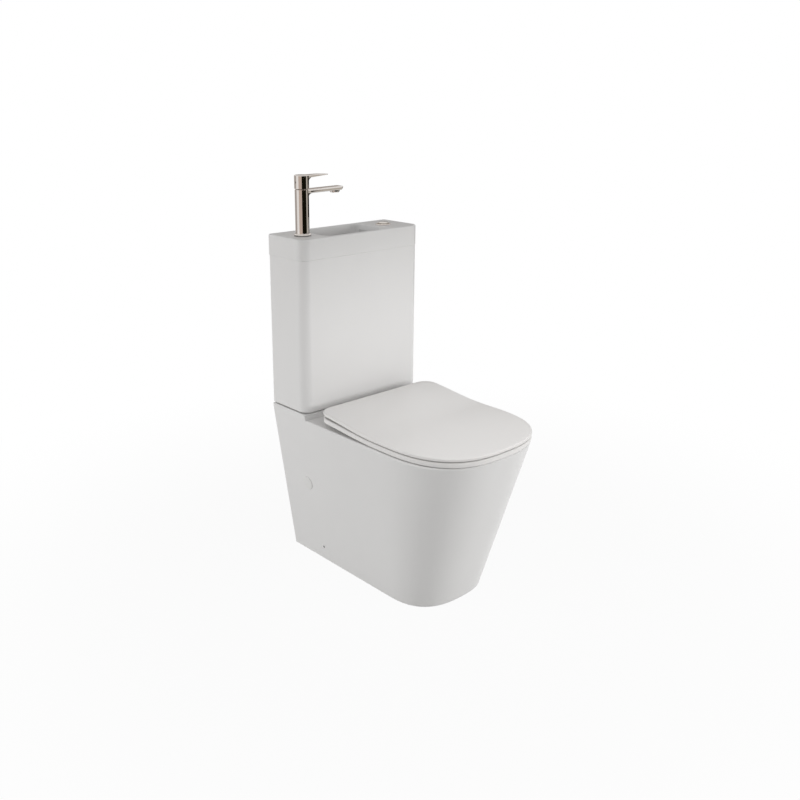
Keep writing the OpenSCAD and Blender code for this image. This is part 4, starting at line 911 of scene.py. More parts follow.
@dataclass
class Pan:
    """The ceramic pan: skirt, rim, bowl, trap, outlet spigot and flush duct in one casting."""

    rim_z: float = 388.0
    rim_half_w: float = 182.0
    base_half_w: float = 123.0
    rim_reach: float = 589.0
    foot_reach: float = 473.0
    rim_curve: float = 190.0
    base_curve: float = 118.0
    front_power: float = 2.68
    wall: float = 12.0
    deck: float = 14.0
    rim_edge: float = 5.0
    foot_edge: float = 2.0
    plinth_z: float = 402.0
    plinth_reach: float = 127.0
    plinth_edge: float = 3.0
    bowl_half_w: float = 134.0
    bowl_back: float = 214.0
    bowl_front: float = 555.0
    bowl_power: float = 2.35
    bowl_fullness: float = 2.4
    bowl_wall: float = 9.0
    mouth_edge: float = 6.0
    sump_half_w: float = 38.0
    sump_back: float = 262.0
    sump_front: float = 346.0
    sump_z: float = 85.0
    sump_round: float = 9.0
    trap_bore: float = 54.0
    trap_z: float = 113.0
    trap_bend: float = 45.0
    trap_climb: float = 60.0
    trap_drop: float = -85.0
    spigot_d: float = 102.0
    spigot_bore: float = 84.0
    spigot_z: float = 180.0
    duct_w: float = 66.0
    duct_h: float = 26.0
    duct_roof: float = 372.0
    boss_d: float = 114.0
    seal_d: float = 96.0
    inlet_d: float = 64.0
    fill_hole_d: float = 44.0
    bolt_hole_d: float = 12.0
    hinge_hole_d: float = 14.0
    cap_reach: float = 97.0
    cap_z: float = 211.0
    cap_d: float = 36.0
    screw_reach: float = 124.0
    screw_z: float = 37.0
    screw_hole_d: float = 7.0

    def half_w(self, z: float) -> float:
        """Gives half the pan's width at a height."""
        return span(self.base_half_w, self.rim_half_w, z / self.rim_z)

    def lean(self) -> float:
        """Gives the lean of the skirt's sides in radians."""
        return math.atan((self.rim_half_w - self.base_half_w) / self.rim_z)

    def plan(self, z: float, back: float, inset: float) -> list[Point2]:
        """Draws the skirt's outline at a height.

        Args:
            z: The height.
            back: Reach of the straight back.
            inset: Distance inwards from the outside.

        Returns:
            The whole outline.
        """
        t = z / self.rim_z
        half = self.half_w(z) - inset
        front = span(self.foot_reach, self.rim_reach, t) - inset
        curve = span(self.base_curve, self.rim_curve, t) - inset
        side = [(half, span(back, front - curve, k / 6)) for k in range(6)]
        return whole(side + super_front(half, front, curve, self.front_power, 44))

    def outside(self) -> Solid:
        """Makes the skirt and rim as a full block, with the foot and the rim's edge rounded.

        Returns:
            The block.
        """
        rings = [level(self.plan(d, 0, i), d) for i, d in rounding(self.foot_edge, 4, rising=False)]
        rings += [level(self.plan(z, 0, 0), z) for z in np.linspace(20, self.rim_z - self.rim_edge - 12, 12)]
        rings += [
            level(self.plan(self.rim_z - d, 0, i), self.rim_z - d) for i, d in rounding(self.rim_edge, 8)
        ]
        return loft("pan", rings)

    def plinth(self, inset: float, low: float, high: float, edge: float) -> Solid:
        """Makes the raised block at the back that carries the cistern, or its hollow.

        Args:
            inset: Distance inwards from the outside.
            low: Lower face.
            high: Upper face.
            edge: Radius of the upper edge.

        Returns:
            The block.
        """
        back = -2.0 if inset else 0.0
        steps = [(0.0, high - low)] + rounding(edge, 6) if edge else [(0.0, high - low), (0.0, 0.0)]
        rings = []
        for extra, depth in steps:
            half = self.half_w(high - depth) - inset - extra
            front = self.plinth_reach - inset - extra
            back_edge = back + (extra * 0.35 if not inset else 0.0)
            rings.append(level(soft_rectangle(-half, back_edge, half, front, 0.5, 3.0), high - depth))
        return loft("plinth", rings)

    def hollow(self) -> Solid:
        """Makes the space inside the skirt, open at the wall and at the floor.

        Returns:
            The space to cut away.
        """
        ceiling = self.rim_z - self.deck
        heights = [-2.0, 60.0, 180.0, 300.0, ceiling - 8, ceiling - 3, ceiling]
        insets = [0.0, 0.0, 0.0, 0.0, 0.0, 1.6, 6.0]
        return loft("hollow", [level(self.plan(z, -2, self.wall + i), z) for z, i in zip(heights, insets)])

    def oval(self, half_w: float, back: float, front: float) -> list[Point2]:
        """Draws the bowl's outline, an egg with a short flat at its back.

        Args:
            half_w: Half the width.
            back: Reach of the back.
            front: Reach of the front.

        Returns:
            The whole outline.
        """
        middle, half_len = (back + front) / 2, (front - back) / 2
        flat = math.sin(math.radians(78))
        half = []
        for k in range(57):
            a = math.radians(-78 + 168 * k / 56)
            rise = abs(math.sin(a)) / (flat if a < 0 else 1.0)
            half.append((
                half_w * max(0.0, math.cos(a)) ** (2 / self.bowl_power),
                middle + math.copysign(half_len * rise ** (2 / self.bowl_power), a),
            ))
        half[-1] = (0.0, front)
        return whole(half)

    def bowl(self, grow: float, top: float, flare: float = 0.0) -> Solid:
        """Makes the bowl's inside, or its outside with the wall's thickness added.

        Args:
            grow: Distance outwards.
            top: Height of the mouth.
            flare: Radius of the mouth's rolled edge.

        Returns:
            The bowl as a solid.
        """
        foot = self.sump_z - grow
        rings = []
        for z in [*np.linspace(foot, foot + 12, 5), *np.linspace(foot + 20, self.rim_z - flare - 2, 26)]:
            t = (self.rim_z - z) / (self.rim_z - self.sump_z)
            rings.append((z, 1 - min(1.0, max(0.0, t)) ** self.bowl_fullness, grow))
        if flare:
            rings += [(self.rim_z - d, 1.0, grow + i) for i, d in rounding(flare, 8)]
        rings.append((top, 1.0, grow + flare))
        made = []
        for k, (z, s, extra) in enumerate(rings):
            foot_round = max(0.0, self.sump_round - (z - foot)) if k < 5 else 0.0
            out = extra - (self.sump_round - math.sqrt(max(0.0, self.sump_round**2 - foot_round**2)))
            made.append(level(
                self.oval(
                    span(self.sump_half_w, self.bowl_half_w, s) + out,
                    span(self.sump_back, self.bowl_back, s) - out,
                    span(self.sump_front, self.bowl_front, s) + out,
                ),
                z,
            ))
        return loft("bowl", made)

    def trap(self, grow: float) -> Solid:
        """Makes the trap's bent tube, or the outside of its wall.

        Args:
            grow: Thickness added to the bore all round.

        Returns:
            The tube.
        """
        level_run, slope_run, end_run = 38.0, 58.0, 44.0
        climb, drop_down = (
            (self.trap_bend * math.radians(abs(turn)), turn) for turn in (self.trap_climb, self.trap_drop)
        )
        path = bent_path(
            place(0, self.sump_back + level_run, self.trap_z),
            [(level_run, 0.0), climb, (slope_run, 0.0), drop_down, (end_run, 0.0)],
        )
        return pipe("trap", path, self.trap_bore / 2 + grow)

    def spigot(self, diameter: float, low: float, high: float) -> Solid:
        """Makes the outlet's round end between two reaches."""
        return rod("spigot", place(0, low, self.spigot_z), place(0, high, self.spigot_z), diameter, 96)

    def duct(self, grow: float, reach_to: float) -> Solid:
        """Makes the flat duct from the cistern's outlet to the bowl.

        Args:
            grow: Thickness added to the way all round.
            reach_to: Reach of its front end.

        Returns:
            The duct.
        """
        half = self.duct_w / 2 + grow
        middle = self.duct_roof - self.duct_h / 2
        r = self.duct_h / 2 + grow
        outline = soft_rectangle(-half, -r, half, r, r, r)
        return loft("duct", [
            np.array([(x, WALL_Y - reach, middle + z) for x, z in outline])
            for reach in (INLET_REACH, reach_to)
        ])

    def side_drill(self, side: int, reach: float, z: float, diameter: float, depth: float) -> Solid:
        """Makes a drill square to one leaning side of the skirt.

        Args:
            side: Minus one for the left, one for the right.
            reach: Its reach.
            z: Its height.
            diameter: Its diameter.
            depth: How deep it goes.

        Returns:
            The drill.
        """
        face = place(side * self.half_w(z), reach, z)
        out = Vector((side * math.cos(self.lean()), 0, -math.sin(self.lean())))
        return rod("drill", face - out * depth, face + out * 4, diameter)

    def build(self, palette: Palette) -> None:
        """Casts the pan and glazes it. Each cut runs a little past the face that it opens.

        Args:
            palette: The finishes.
        """
        ceiling = self.rim_z - self.deck
        boss_low = self.duct_roof - self.duct_h - self.bowl_wall
        away, onto = Work.AWAY, Work.ONTO
        pan = worked(
            self.outside(),
            (onto, self.plinth(0, self.rim_z - 60, self.plinth_z, self.plinth_edge)),
            (away, self.hollow()),
            (away, self.plinth(self.wall, ceiling - 1, self.plinth_z - self.deck, 0)),
            (onto, self.bowl(self.bowl_wall, ceiling + 1)),
            (onto, self.trap(self.bowl_wall)),
            (onto, self.spigot(self.spigot_d, 28, 110)),
            (onto, self.duct(self.bowl_wall, self.bowl_back)),
            (onto, upright(0, INLET_REACH, boss_low, self.plinth_z - 1, self.boss_d)),
            (away, self.bowl(0, self.rim_z + 2, self.mouth_edge)),
            (away, self.trap(0)),
            (away, self.spigot(self.spigot_bore, 26, 101)),
            (away, self.duct(0, self.bowl_back + 12)),
            (away, upright(0, INLET_REACH, self.plinth_z - 24, self.plinth_z + 2, self.seal_d)),
            (away, upright(0, INLET_REACH, self.duct_roof - self.duct_h, self.plinth_z, self.inlet_d)),
            (away, upright(FILL_X, INLET_REACH, ceiling - 1, self.plinth_z + 2, self.fill_hole_d)),
        )
        drills = []
        for side in (-1, 1):
            drills += [
                (away, upright(side * BOLT_X, INLET_REACH, ceiling - 1, self.plinth_z + 2, self.bolt_hole_d)),
                (away, upright(side * HINGE_X, HINGE_REACH, ceiling - 14, self.rim_z + 2, self.hinge_hole_d)),
                (away, self.side_drill(side, self.cap_reach, self.cap_z, self.cap_d - 3, 36)),
                (away, self.side_drill(side, self.screw_reach, self.screw_z, self.screw_hole_d, 6)),
                (away, self.side_drill(side, self.screw_reach, self.screw_z, self.screw_hole_d - 2, 36)),
            ]
        worked(pan, *drills)
        pan.name = "pan_casting"
        dress(pan, palette.china, "white_ceramic", ROOT, ("pan", "pan_bowl", "pan_trap", "pan_duct"), 30)
        self.caps(palette)

    def caps(self, palette: Palette) -> None:
        """Moulds the two round caps in the skirt's sides.

        Args:
            palette: The finishes.
        """
        # Outwards along the cap's axis: a plug, a step onto the skirt and a slightly domed face.
        profile = [
            (0.0, -9.0), (15.9, -9.0), (16.3, -8.6), (16.3, 0.0), (18.0, 0.0), (18.0, 0.5),
            (17.7, 1.1), (17.0, 1.55), (16.0, 1.75), (8.0, 1.8), (0.0, 1.8),
        ]
        for side in (-1, 1):
            face = place(side * self.half_w(self.cap_z), self.cap_reach, self.cap_z)
            cap = lathe(f"side_cap_{'left' if side < 0 else 'right'}", profile, Vector((0, 0, 0)))
            turn = Matrix.Rotation(side * (math.pi / 2 + self.lean()), 4, "Y")
            cap.data.transform(Matrix.Translation(face * MM) @ turn)
            dress(cap, palette.cap, "cap_plastic", ROOT, angle=40)
        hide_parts("side_caps")


# ---------------------------------------------------------------- cistern, lid and basin


@dataclass
class Cistern:
    """The ceramic tank and its lid, whose top is cast as a hand basin."""

    half_w: float = 184.0
    back: float = 1.0
    front: float = 131.0
    low: float = 404.2
    top: float = 771.2
    wall: float = 10.0
    corner: float = 24.0
    back_corner: float = 5.0
    foot_edge: float = 5.0
    lid_half_w: float = 185.0
    lid_depth: float = 132.0
    lid_corner: float = 25.0
    lid_edge: float = 3.0
    lid_slab: float = 11.0
    basin_left: float = -103.0
    basin_right: float = 76.0
    basin_rim: float = 11.0
    basin_depth: float = 64.0
    basin_run: float = 34.0
    basin_draft: float = 4.0
    basin_corner: float = 22.0
    basin_lean: float = 12.5 / 49.5
    floor_round: float = 12.0
    slope_round: float = 20.0
    mouth_edge: float = 3.2
    # Holes in the tank's floor, by x and diameter, and in the lid, by x, reach and diameter.
    floor_holes: tuple[Point2, ...] = ((0.0, 61.0), (FILL_X, 24.0), (-BOLT_X, 11.0), (BOLT_X, 11.0))
    lid_holes: tuple[tuple[float, float, float], ...] = (
        (TAP_X, TAP_REACH, 35.0),
        (BUTTON_X, BUTTON_REACH, 36.0),
    )
    waste_hole_d: float = 33.0
    hole_steps: int = 96

    def block(
        self, name: str, inset: float, low: float, high: float, edges: Point2, corners: Point2, lid: bool
    ) -> Solid:
        """Makes a ceramic block with rounded corners, lower edge and upper edge.

        Args:
            name: The object's name.
            inset: Distance inwards from the tank's or lid's outside.
            low: Lower face.
            high: Upper face.
            edges: Radii of the lower and upper edges.
            corners: Radii of the upright corners at the back and at the front.
            lid: Takes the lid's outline instead of the tank's.

        Returns:
            The block.
        """
        half = (self.lid_half_w if lid else self.half_w) - inset
        back = (0.0 if lid else self.back) + inset
        front = (self.lid_depth if lid else self.front) - inset
        foot_edge, top_edge = edges
        stations = [(0.0, low)]
        if foot_edge:
            stations = [(i, low + d) for i, d in rounding(foot_edge, 8, rising=False)]
        stations += [(0.0, span(low + foot_edge, high - top_edge, t)) for t in (0.02, 0.5, 0.98)]
        stations += [(i, high - d) for i, d in rounding(top_edge, 6)] if top_edge else [(0.0, high)]
        rings = []
        for shrink, z in stations:
            back_shrink = min(shrink, 0.6 * corners[0])
            outline = soft_rectangle(
                -half + shrink,
                back + (back_shrink if shrink else 0.0),
                half - shrink,
                front - shrink,
                max(corners[0] - 0.5 * shrink, 1.5),
                max(corners[1] - 0.5 * shrink, 1.5),
            )
            rings.append(level(outline, z))
        return loft(name, rings)

    def basin_plan(self, depth: float, grow: float) -> list[Point2]:
        """Draws the basin's outline at a depth.

        Args:
            depth: Distance below the lid's top.
            grow: Distance outwards, for the underside.

        Returns:
            The outline.
        """
        lift = self.basin_depth - depth
        r, s = self.floor_round, self.slope_round
        tuck = r - math.sqrt(max(0.0, r * r - max(0.0, r - lift) ** 2))
        slope = math.atan(self.basin_depth / self.basin_run)
        right = self.basin_right - self.basin_run * depth / self.basin_depth
        tangent = s * math.tan(slope / 2)
        if lift < tangent * math.sin(slope):
            middle = self.basin_right - self.basin_run - tangent
            right = middle + math.sqrt(max(0.0, s * s - (s - lift) ** 2))
        left = self.basin_left + self.basin_draft * min(depth, self.basin_depth - r) / self.basin_depth + tuck
        side = self.basin_rim + self.basin_lean * min(depth, self.basin_depth - r) + tuck
        corner = max(6.0, self.basin_corner - 0.12 * depth - tuck) + grow
        return soft_rectangle(
            left - grow, side - grow, right + grow, self.lid_depth - side + grow, corner, corner, 18
        )

    def basin(self, grow: float, flare: float) -> Solid:
        """Makes the basin's inside, or its underside with the wall's thickness added.

        Args:
            grow: Distance outwards.
            flare: Radius of the mouth's edge.

        Returns:
            The basin as a solid.
        """
        r = self.floor_round
        floor_part = [self.basin_depth - r + r * math.sin(a) for a in quarter(12)]
        depths = floor_part[::-1] + list(np.linspace(self.basin_depth - r - 3, flare + 0.5, 14))
        rings = []
        for d in depths:
            # The underside drops away from the floor by the wall's thickness, round its edge first.
            drop_below = grow * max(0.0, d - self.basin_depth + r) / r
            rings.append(level(self.basin_plan(d, grow), LID_TOP - d - drop_below))
        if flare:
            for inset, d in rounding(flare, 8):
                rings.append(level(self.basin_plan(d, inset), LID_TOP - d))
            rings.append(level(self.basin_plan(0, flare), LID_TOP + 2))
        else:
            rings.append(level(self.basin_plan(4, grow), LID_TOP - 4))
        return loft("basin", rings)

    def build(self, palette: Palette) -> None:
        """Casts the tank and the lid and glazes them.

        Args:
            palette: The finishes.
        """
        away, onto = Work.AWAY, Work.ONTO
        floor = self.low + self.wall
        corners = (self.back_corner, self.corner)
        tank = worked(
            self.block("tank", 0, self.low, self.top, (self.foot_edge, 1.2), corners, False),
            (away, self.block("cavity", self.wall, floor, self.top + 2, (6.0, 0.0), (3.0, 14.0), False)),
            *(
                (away, upright(x, INLET_REACH, self.low - 1, floor + 1, hole_d, self.hole_steps))
                for x, hole_d in self.floor_holes
            ),
        )
        tank.name = "cistern_tank_casting"
        dress(tank, palette.china, "white_ceramic", ROOT, ("cistern_tank",), 30)
        slab_low = LID_TOP - self.lid_slab
        waste_heights = (LID_TOP - 80, LID_TOP - 50)
        corners = (self.back_corner, self.lid_corner)
        lid = worked(
            self.block("lid", 0, self.top, LID_TOP, (1.2, self.lid_edge), corners, True),
            (onto, self.block("lip", 12.5, self.top - 8, self.top + 2, (0.8, 0.0), (3.0, 12.0), True)),
            (away, self.block("lip_space", 18.5, self.top - 9, self.top + 9, (0.0, 0.0), (3.0, 6.0), True)),
            (away, self.block("lid_space", 11.0, self.top + 8, slab_low, (0.0, 2.0), (3.0, 10.0), True)),
            (onto, self.basin(8.0, 0.0)),
            (away, self.basin(0.0, self.mouth_edge)),
            *(
                (away, upright(x, reach, self.top - 10, LID_TOP + 2, hole_d, self.hole_steps))
                for x, reach, hole_d in self.lid_holes
            ),
            (away, upright(WASTE_X, INLET_REACH, *waste_heights, self.waste_hole_d, self.hole_steps)),
        )
        lid.name = "cistern_lid_casting"
        dress(lid, palette.china, "white_ceramic", ROOT, ("cistern_lid",), 30)


# ---------------------------------------------------------------- seat and seat lid


@dataclass
class SeatSet:
    """The seat and its lid, pressed in white duroplast, with the wave at the back."""

    half_w: float = 179.4
    back: float = 171.0
    corner: float = 34.0
    curve: float = 192.0
    front: float = 592.0
    power: float = 2.68
    wave_rise: float = 15.2
    wave_start: float = 370.0
    wave_run: float = 210.0
    seat_low: float = 389.6
    seat_high: float = 401.1
    seat_share: float = 11.2 / 15.2
    cover_low: float = 403.6
    cover_high: float = 410.6
    hole_half_w: float = 108.0
    hole_back: float = 252.0
    hole_corner: float = 66.96
    hole_front: float = 534.0
    hinge_z: float = 408.0
    lug_d: float = 16.0
    pin_bore: float = 9.1
    # Ends of the hinge lugs and of the notches round the posts, outwards from the middle.
    cover_lug: Point2 = (88.0, 98.0)
    seat_lug: Point2 = (49.5, 67.0)
    notch: Point2 = (66.0, 102.0)
    notch_reach: Point2 = (160.0, 198.5)
    # The lid's crown: how far inside the rounded edge, and how much higher there.
    crown: tuple[Point2, ...] = ((1.5, 0.02), (4.0, 0.06), (9.0, 0.13), (16.0, 0.2))

    def plan(self, half_w: float, back: float, corner: float, curve: float, front: float) -> list[Point2]:
        """Draws an outline with a straight back, round back corners and a curved front.

        Args:
            half_w: Half the width.
            back: Reach of the back.
            corner: Radius of the back corners.
            curve: Length of the curved front.
            front: Reach of the tip.

        Returns:
            The whole outline.
        """
        half = [
            (half_w - corner * (1 - math.sin(a)), back + corner * (1 - math.cos(a)))
            for a in quarter(12)
        ]
        half += [(half_w, span(back + corner, front - curve, k / 26)) for k in range(1, 26)]
        return whole(half + super_front(half_w, front, curve, self.power, 44))

    def cover_plan(self, inset: float) -> list[Point2]:
        """Draws the seat lid's outline, drawn in by an inset."""
        sizes = (self.corner - inset, self.curve - inset, self.front - inset)
        return self.plan(self.half_w - inset, self.back + inset, *sizes)

    def hole_plan(self, grow: float) -> list[Point2]:
        """Draws the seat's opening, grown outwards.

        Args:
            grow: Distance outwards from the opening's edge.

        Returns:
            The whole outline.
        """
        return self.plan(
            self.hole_half_w + grow,
            self.hole_back - grow,
            self.hole_corner + grow,
            self.curve - 60 + grow,
            self.hole_front + grow,
        )

    def waved(self, z: float, share: float) -> Callable[[float], float]:
        """Gives the height of a face that follows a share of the wave.

        Args:
            z: Height of the face at the front.
            share: Share of the wave that it follows.

        Returns:
            The height at each reach.
        """
        return lambda reach: z + share * self.wave_rise * (
            1 - math.cos(math.pi * min(1.0, max(0.0, (self.wave_start - reach) / self.wave_run)))
        ) / 2

    def lugs(self, low: float, high: float, plate_z: float) -> list[tuple[Work, Solid]]:
        """Makes the round hinge lugs on both sides, and their bores.

        Args:
            low: Inner end of the lug from the middle.
            high: Outer end.
            plate_z: Height that a web runs up to, or nothing for a lug inside the plate.

        Returns:
            The steps that join the lugs and cut their bores.
        """
        joins, cuts = [], []
        for side in (-1, 1):
            ends = [place(side * x, HINGE_REACH, self.hinge_z) for x in (low, high)]
            joins.append((Work.ONTO, rod("lug", *ends, self.lug_d)))
            if plate_z:
                x_low, x_high = sorted((side * low, side * high))
                r = self.lug_d / 2
                web = soft_rectangle(x_low, HINGE_REACH - r, x_high, HINGE_REACH + r, 1.0, 1.0, 4)
                joins.append((Work.ONTO, loft("web", [level(web, self.hinge_z), level(web, plate_z)])))
            out = [place(side * x, HINGE_REACH, self.hinge_z) for x in (low - 1, high + 1)]
            cuts.append((Work.AWAY, rod("bore", *out, self.pin_bore)))
        return joins + cuts

    def build(self, palette: Palette) -> None:
        """Presses the seat and the lid."""
        self.build_cover(palette)
        self.build_seat(palette)

    def build_cover(self, palette: Palette) -> None:
        """Presses the lid: a plate with a soft upper edge and hinge lugs under its back.

        Args:
            palette: The finishes.
        """
        low_r, high_r = 1.5, 2.8
        rings = [level(self.cover_plan(low_r + 2), self.waved(self.cover_low, 1))]
        rings += [
            level(self.cover_plan(i), self.waved(self.cover_low + d, 1))
            for i, d in rounding(low_r, 4, rising=False)
        ]
        rings += [
            level(self.cover_plan(i), self.waved(self.cover_high - d, 1)) for i, d in rounding(high_r, 7)
        ]
        rings += [
            level(self.cover_plan(high_r + i), self.waved(self.cover_high + rise, 1))
            for i, rise in self.crown
        ]
        (_, lugs), *steps = self.lugs(*self.cover_lug, self.cover_low + self.wave_rise + 2)
        cover = together("seat_lid_pressing", loft("seat_lid", rings, strips=True), worked(lugs, *steps))
        dress(cover, palette.duroplast, "seat_plastic", "lid", ("seat_lid",), 32)

    def build_seat(self, palette: Palette) -> None:
        """Presses the seat: a ring with soft edges, notched at the hinge posts.

        Args:
            palette: The finishes.
        """
        low_r, high_r = 2.5, 3.2
        outer, inner = self.cover_plan, self.hole_plan

        def at_low(depth: float) -> Callable[[float], float]:
            """Gives the height of a level above the seat's underside."""
            return self.waved(self.seat_low + depth, self.seat_share)

        def at_high(depth: float) -> Callable[[float], float]:
            """Gives the height of a level below the seat's top."""
            return self.waved(self.seat_high - depth, self.seat_share)

        rings = [level(outer(i + 0.5), at_low(d)) for i, d in rounding(low_r, 4, rising=False)]
        rings += [level(outer(i + 0.5), at_high(d)) for i, d in rounding(high_r, 6)]
        rings += [level(outer(high_r + 3), at_high(0)), level(inner(high_r + 3), at_high(0))]
        rings += [level(inner(i), at_high(d)) for i, d in rounding(high_r, 6, rising=False)]
        rings += [level(inner(i), at_low(d)) for i, d in rounding(low_r, 4)]
        steps = self.lugs(*self.seat_lug, 0.0)
        for side in (-1, 1):
            low, high = sorted(side * x for x in self.notch)
            notch = soft_rectangle(low, self.notch_reach[0], high, self.notch_reach[1], 0.5, 3.0, 6)
            steps.append((Work.AWAY, loft("notch", [level(notch, 386.0), level(notch, 430.0)])))
        seat = worked(loft("seat", rings, closed=True), *steps)
        seat.name = "seat_pressing"
        dress(seat, palette.duroplast, "seat_plastic", "seat", ("seat",), 32)


# ---------------------------------------------------------------- the tap


@dataclass
class Tap:
    """The chromed basin mixer: body with spout, flange, handle with lever, and aerator."""

    body_d: float = 32.6
    shank_d: float = 27.0
    shank_len: float = 52.0
    chamber_d: float = 26.4
    supply_d: float = 9.0
    stem_hole_d: float = 6.1
    screw_hole_d: float = 4.2
    dome_gap: float = 0.4
    crown_edge: float = 1.6
    foot_h: float = 1.0
    flange_d: float = 40.0
    flange_h: float = 4.0
    shoulder_h: float = 106.0
    pivot_h: float = 84.0
    top_h: float = 139.0
    spout_reach: float = 115.5
    spout_w: float = 29.0
    spout_top: float = 106.0
    spout_rise: float = 1.4
    spout_t: float = 8.8
    spout_fillet: float = 8.0
    spout_fillet_half: float = 13.6
    tip_corner: float = 8.0
    bevel: float = 8.0
    aerator_h: float = 95.0
    aerator_x: float = 97.0
    aerator_d: float = 21.0
    handle_d: float = 34.0
    handle_low: float = 108.0
    lever_reach: float = 76.0
    lever_root_w: float = 24.0
    lever_tip_w: float = 15.0
    lever_t: float = 4.6
    lever_droop: float = 0.6
    lever_fillet: float = 9.0
    lever_fillet_half: float = 10.2

    def foot(self) -> Vector:
        """Gives the point of the lid's top on the tap's axis."""
        return place(TAP_X, TAP_REACH, LID_TOP)

    def dome_r(self) -> float:
        """Gives the radius of the dome that the handle swings over."""
        return math.hypot(self.body_d / 2, self.shoulder_h - self.pivot_h)

    def dome(self, radius: float, r_from: float, steps: int = 14) -> list[Point2]:
        """Gives profile points of the dome from a radius in to the axis.

        Args:
            radius: The dome's radius.
            r_from: Distance from the axis at the start.
            steps: Number of steps.

        Returns:
            The points.
        """
        widest = math.asin(r_from / radius)
        return [
            (radius * math.sin(a), self.pivot_h + radius * math.cos(a))
            for a in (widest * (1 - k / steps) for k in range(steps))
        ] + [(0.0, self.pivot_h + radius)]

    def section(self, x: float, half: float, low: float, high: float, r_low: float, r_high: float) -> Ring:
        """Lays one upright section of the spout or the lever.

        Args:
            x: Distance from the tap's axis.
            half: Half the width.
            low: Height of the underside.
            high: Height of the top.
            r_low: Radius of the lower edges.
            r_high: Radius of the upper edges.

        Returns:
            The section's ring.
        """
        limit = 0.46 * min(high - low, 2 * half)
        outline = soft_rectangle(-half, low, half, high, min(r_low, limit), min(r_high, limit), 6)
        return np.array([(TAP_X + x, WALL_Y - TAP_REACH + y, LID_TOP + h) for y, h in outline])

    def spout(self) -> Solid:
        """Makes the spout: rising a little, bevelled under its tip, rounded into the body.

        Returns:
            The spout.
        """
        root = self.spout_top - self.spout_t
        low = root + self.spout_rise
        bevel_x = self.spout_reach - self.bevel
        tip = [self.spout_reach - self.tip_corner * (1 - math.sin(a)) for a in quarter(12)]
        stations = sorted({0.0, 16.0, 30.0, 45.0, 62.0, 80.0, 98.0, bevel_x - 0.3, bevel_x + 0.3, *tip})
        rings = []
        for x in stations:
            top = self.spout_top + self.spout_rise * min(1.0, x / (self.spout_reach - 2))
            top -= max(0.0, x - self.spout_reach + 2) * 0.5
            under = span(root, low, min(1.0, x / bevel_x))
            if x > bevel_x:
                under = span(low, self.spout_top + self.spout_rise - 2.6, (x - bevel_x) / self.bevel)
            turn = max(0.0, x - self.spout_reach + self.tip_corner)
            half = self.spout_w / 2 - self.tip_corner + math.sqrt(max(0.0, self.tip_corner**2 - turn**2))
            rings.append(self.section(x, half, under, top, 2.2, 3.5))
        return loft("spout", rings)

    def lever(self) -> Solid:
        """Makes the lever: a thin blade with a round tip.

        Returns:
            The lever.
        """
        root_x = self.handle_d / 2
        low = self.top_h - self.lever_t - 1.5
        tip_r = self.lever_tip_w / 2
        tip = [self.lever_reach - tip_r * (1 - math.sin(a)) for a in quarter(12)]
        tip_h = self.top_h - self.lever_droop
        tops = (
            [0.0, root_x, self.lever_reach * 0.6, self.lever_reach],
            [self.top_h, self.top_h - 0.6, self.top_h - self.lever_droop / 2, tip_h - 1.2],
        )
        unders = (
            [0.0, root_x + self.lever_fillet, self.lever_reach - 4, self.lever_reach],
            [low, low, tip_h - self.lever_t * 0.6, tip_h - 2.2],
        )
        rings = []
        for x in sorted({0.0, 8.0, 17.0, 26.0, 34.0, 42.0, 50.0, 58.0, *tip}):
            bow = 0.35 * math.sin(math.pi * x / self.lever_reach)
            under = float(np.interp(x, *unders))
            half = span(self.lever_root_w, self.lever_tip_w, min(1.0, x / (self.lever_reach - tip_r))) / 2
            turn = max(0.0, x - self.lever_reach + tip_r)
            if turn:
                half = max(0.4, math.sqrt(max(0.0, tip_r**2 - turn**2)))
            rings.append(self.section(x, half, under, float(np.interp(x, *tops)) + bow * 0.6, 1.2, 1.7))
        return loft("lever", rings)

    def flare(self, radius: float, fillet: float, high: float, half: float) -> Solid:
        """Makes the rounding under an arm: a turned flare, cut to the arm's width.

        Args:
            radius: Radius of the round body that the arm leaves.
            fillet: Radius of the rounding.
            high: Height of the arm's underside.
            half: Half the arm's width.

        Returns:
            The rounding's solid.
        """
        arc = [
            (radius + fillet * (1 - math.cos(a)), high - fillet * (1 - math.sin(a)))
            for a in quarter(10)
        ]
        turned = lathe("flare", [(0.0, high - fillet), *arc, (0.0, high)], self.foot())
        out = TAP_X + radius + fillet + 1
        sides = soft_rectangle(TAP_X, TAP_REACH - half, out, TAP_REACH + half, 0.4, 0.4, 4)
        heights = (LID_TOP + high - fillet - 1, LID_TOP + high + 1)
        return worked(turned, (Work.WITHIN, loft("sides", [level(sides, z) for z in heights])))

    def bore(self, diameter: float, low: float, high: float) -> Solid:
        """Makes an upright drill on the tap's axis."""
        foot = self.foot()
        return rod("drill", foot + Vector((0, 0, low)), foot + Vector((0, 0, high)), diameter)

    def build(self, palette: Palette) -> None:
        """Casts, polishes and chromes the tap's visible pieces.

        Args:
            palette: The finishes.
        """
        self.build_body(palette)
        self.build_handle(palette)
        flange = lathe("tap_flange_turning", self.flange_profile(), self.foot())
        dress(flange, palette.chrome, "chrome", ROOT, ("tap_flange",), 28)
        aerator = node_copy("aerator", "aerator_turning")
        dress(aerator, palette.chrome, "chrome", ROOT, ("aerator",), 28)

    def flange_profile(self) -> list[Point2]:
        """Gives the flange's turned profile, with a soft bevel round its upper edge.

        Returns:
            Its points.
        """
        inner, outer = self.body_d / 2 + 0.1, self.flange_d / 2
        low, high = self.foot_h, self.foot_h + self.flange_h
        return [
            (inner, low), (outer - 0.3, low), (outer, low + 0.3), (outer, high - 1.6),
            (outer - 0.25, high - 1.2), (outer - 0.8, high - 0.65), (outer - 1.3, high - 0.2),
            (outer - 1.8, high), (inner + 0.4, high), (inner, high - 0.3),
        ]

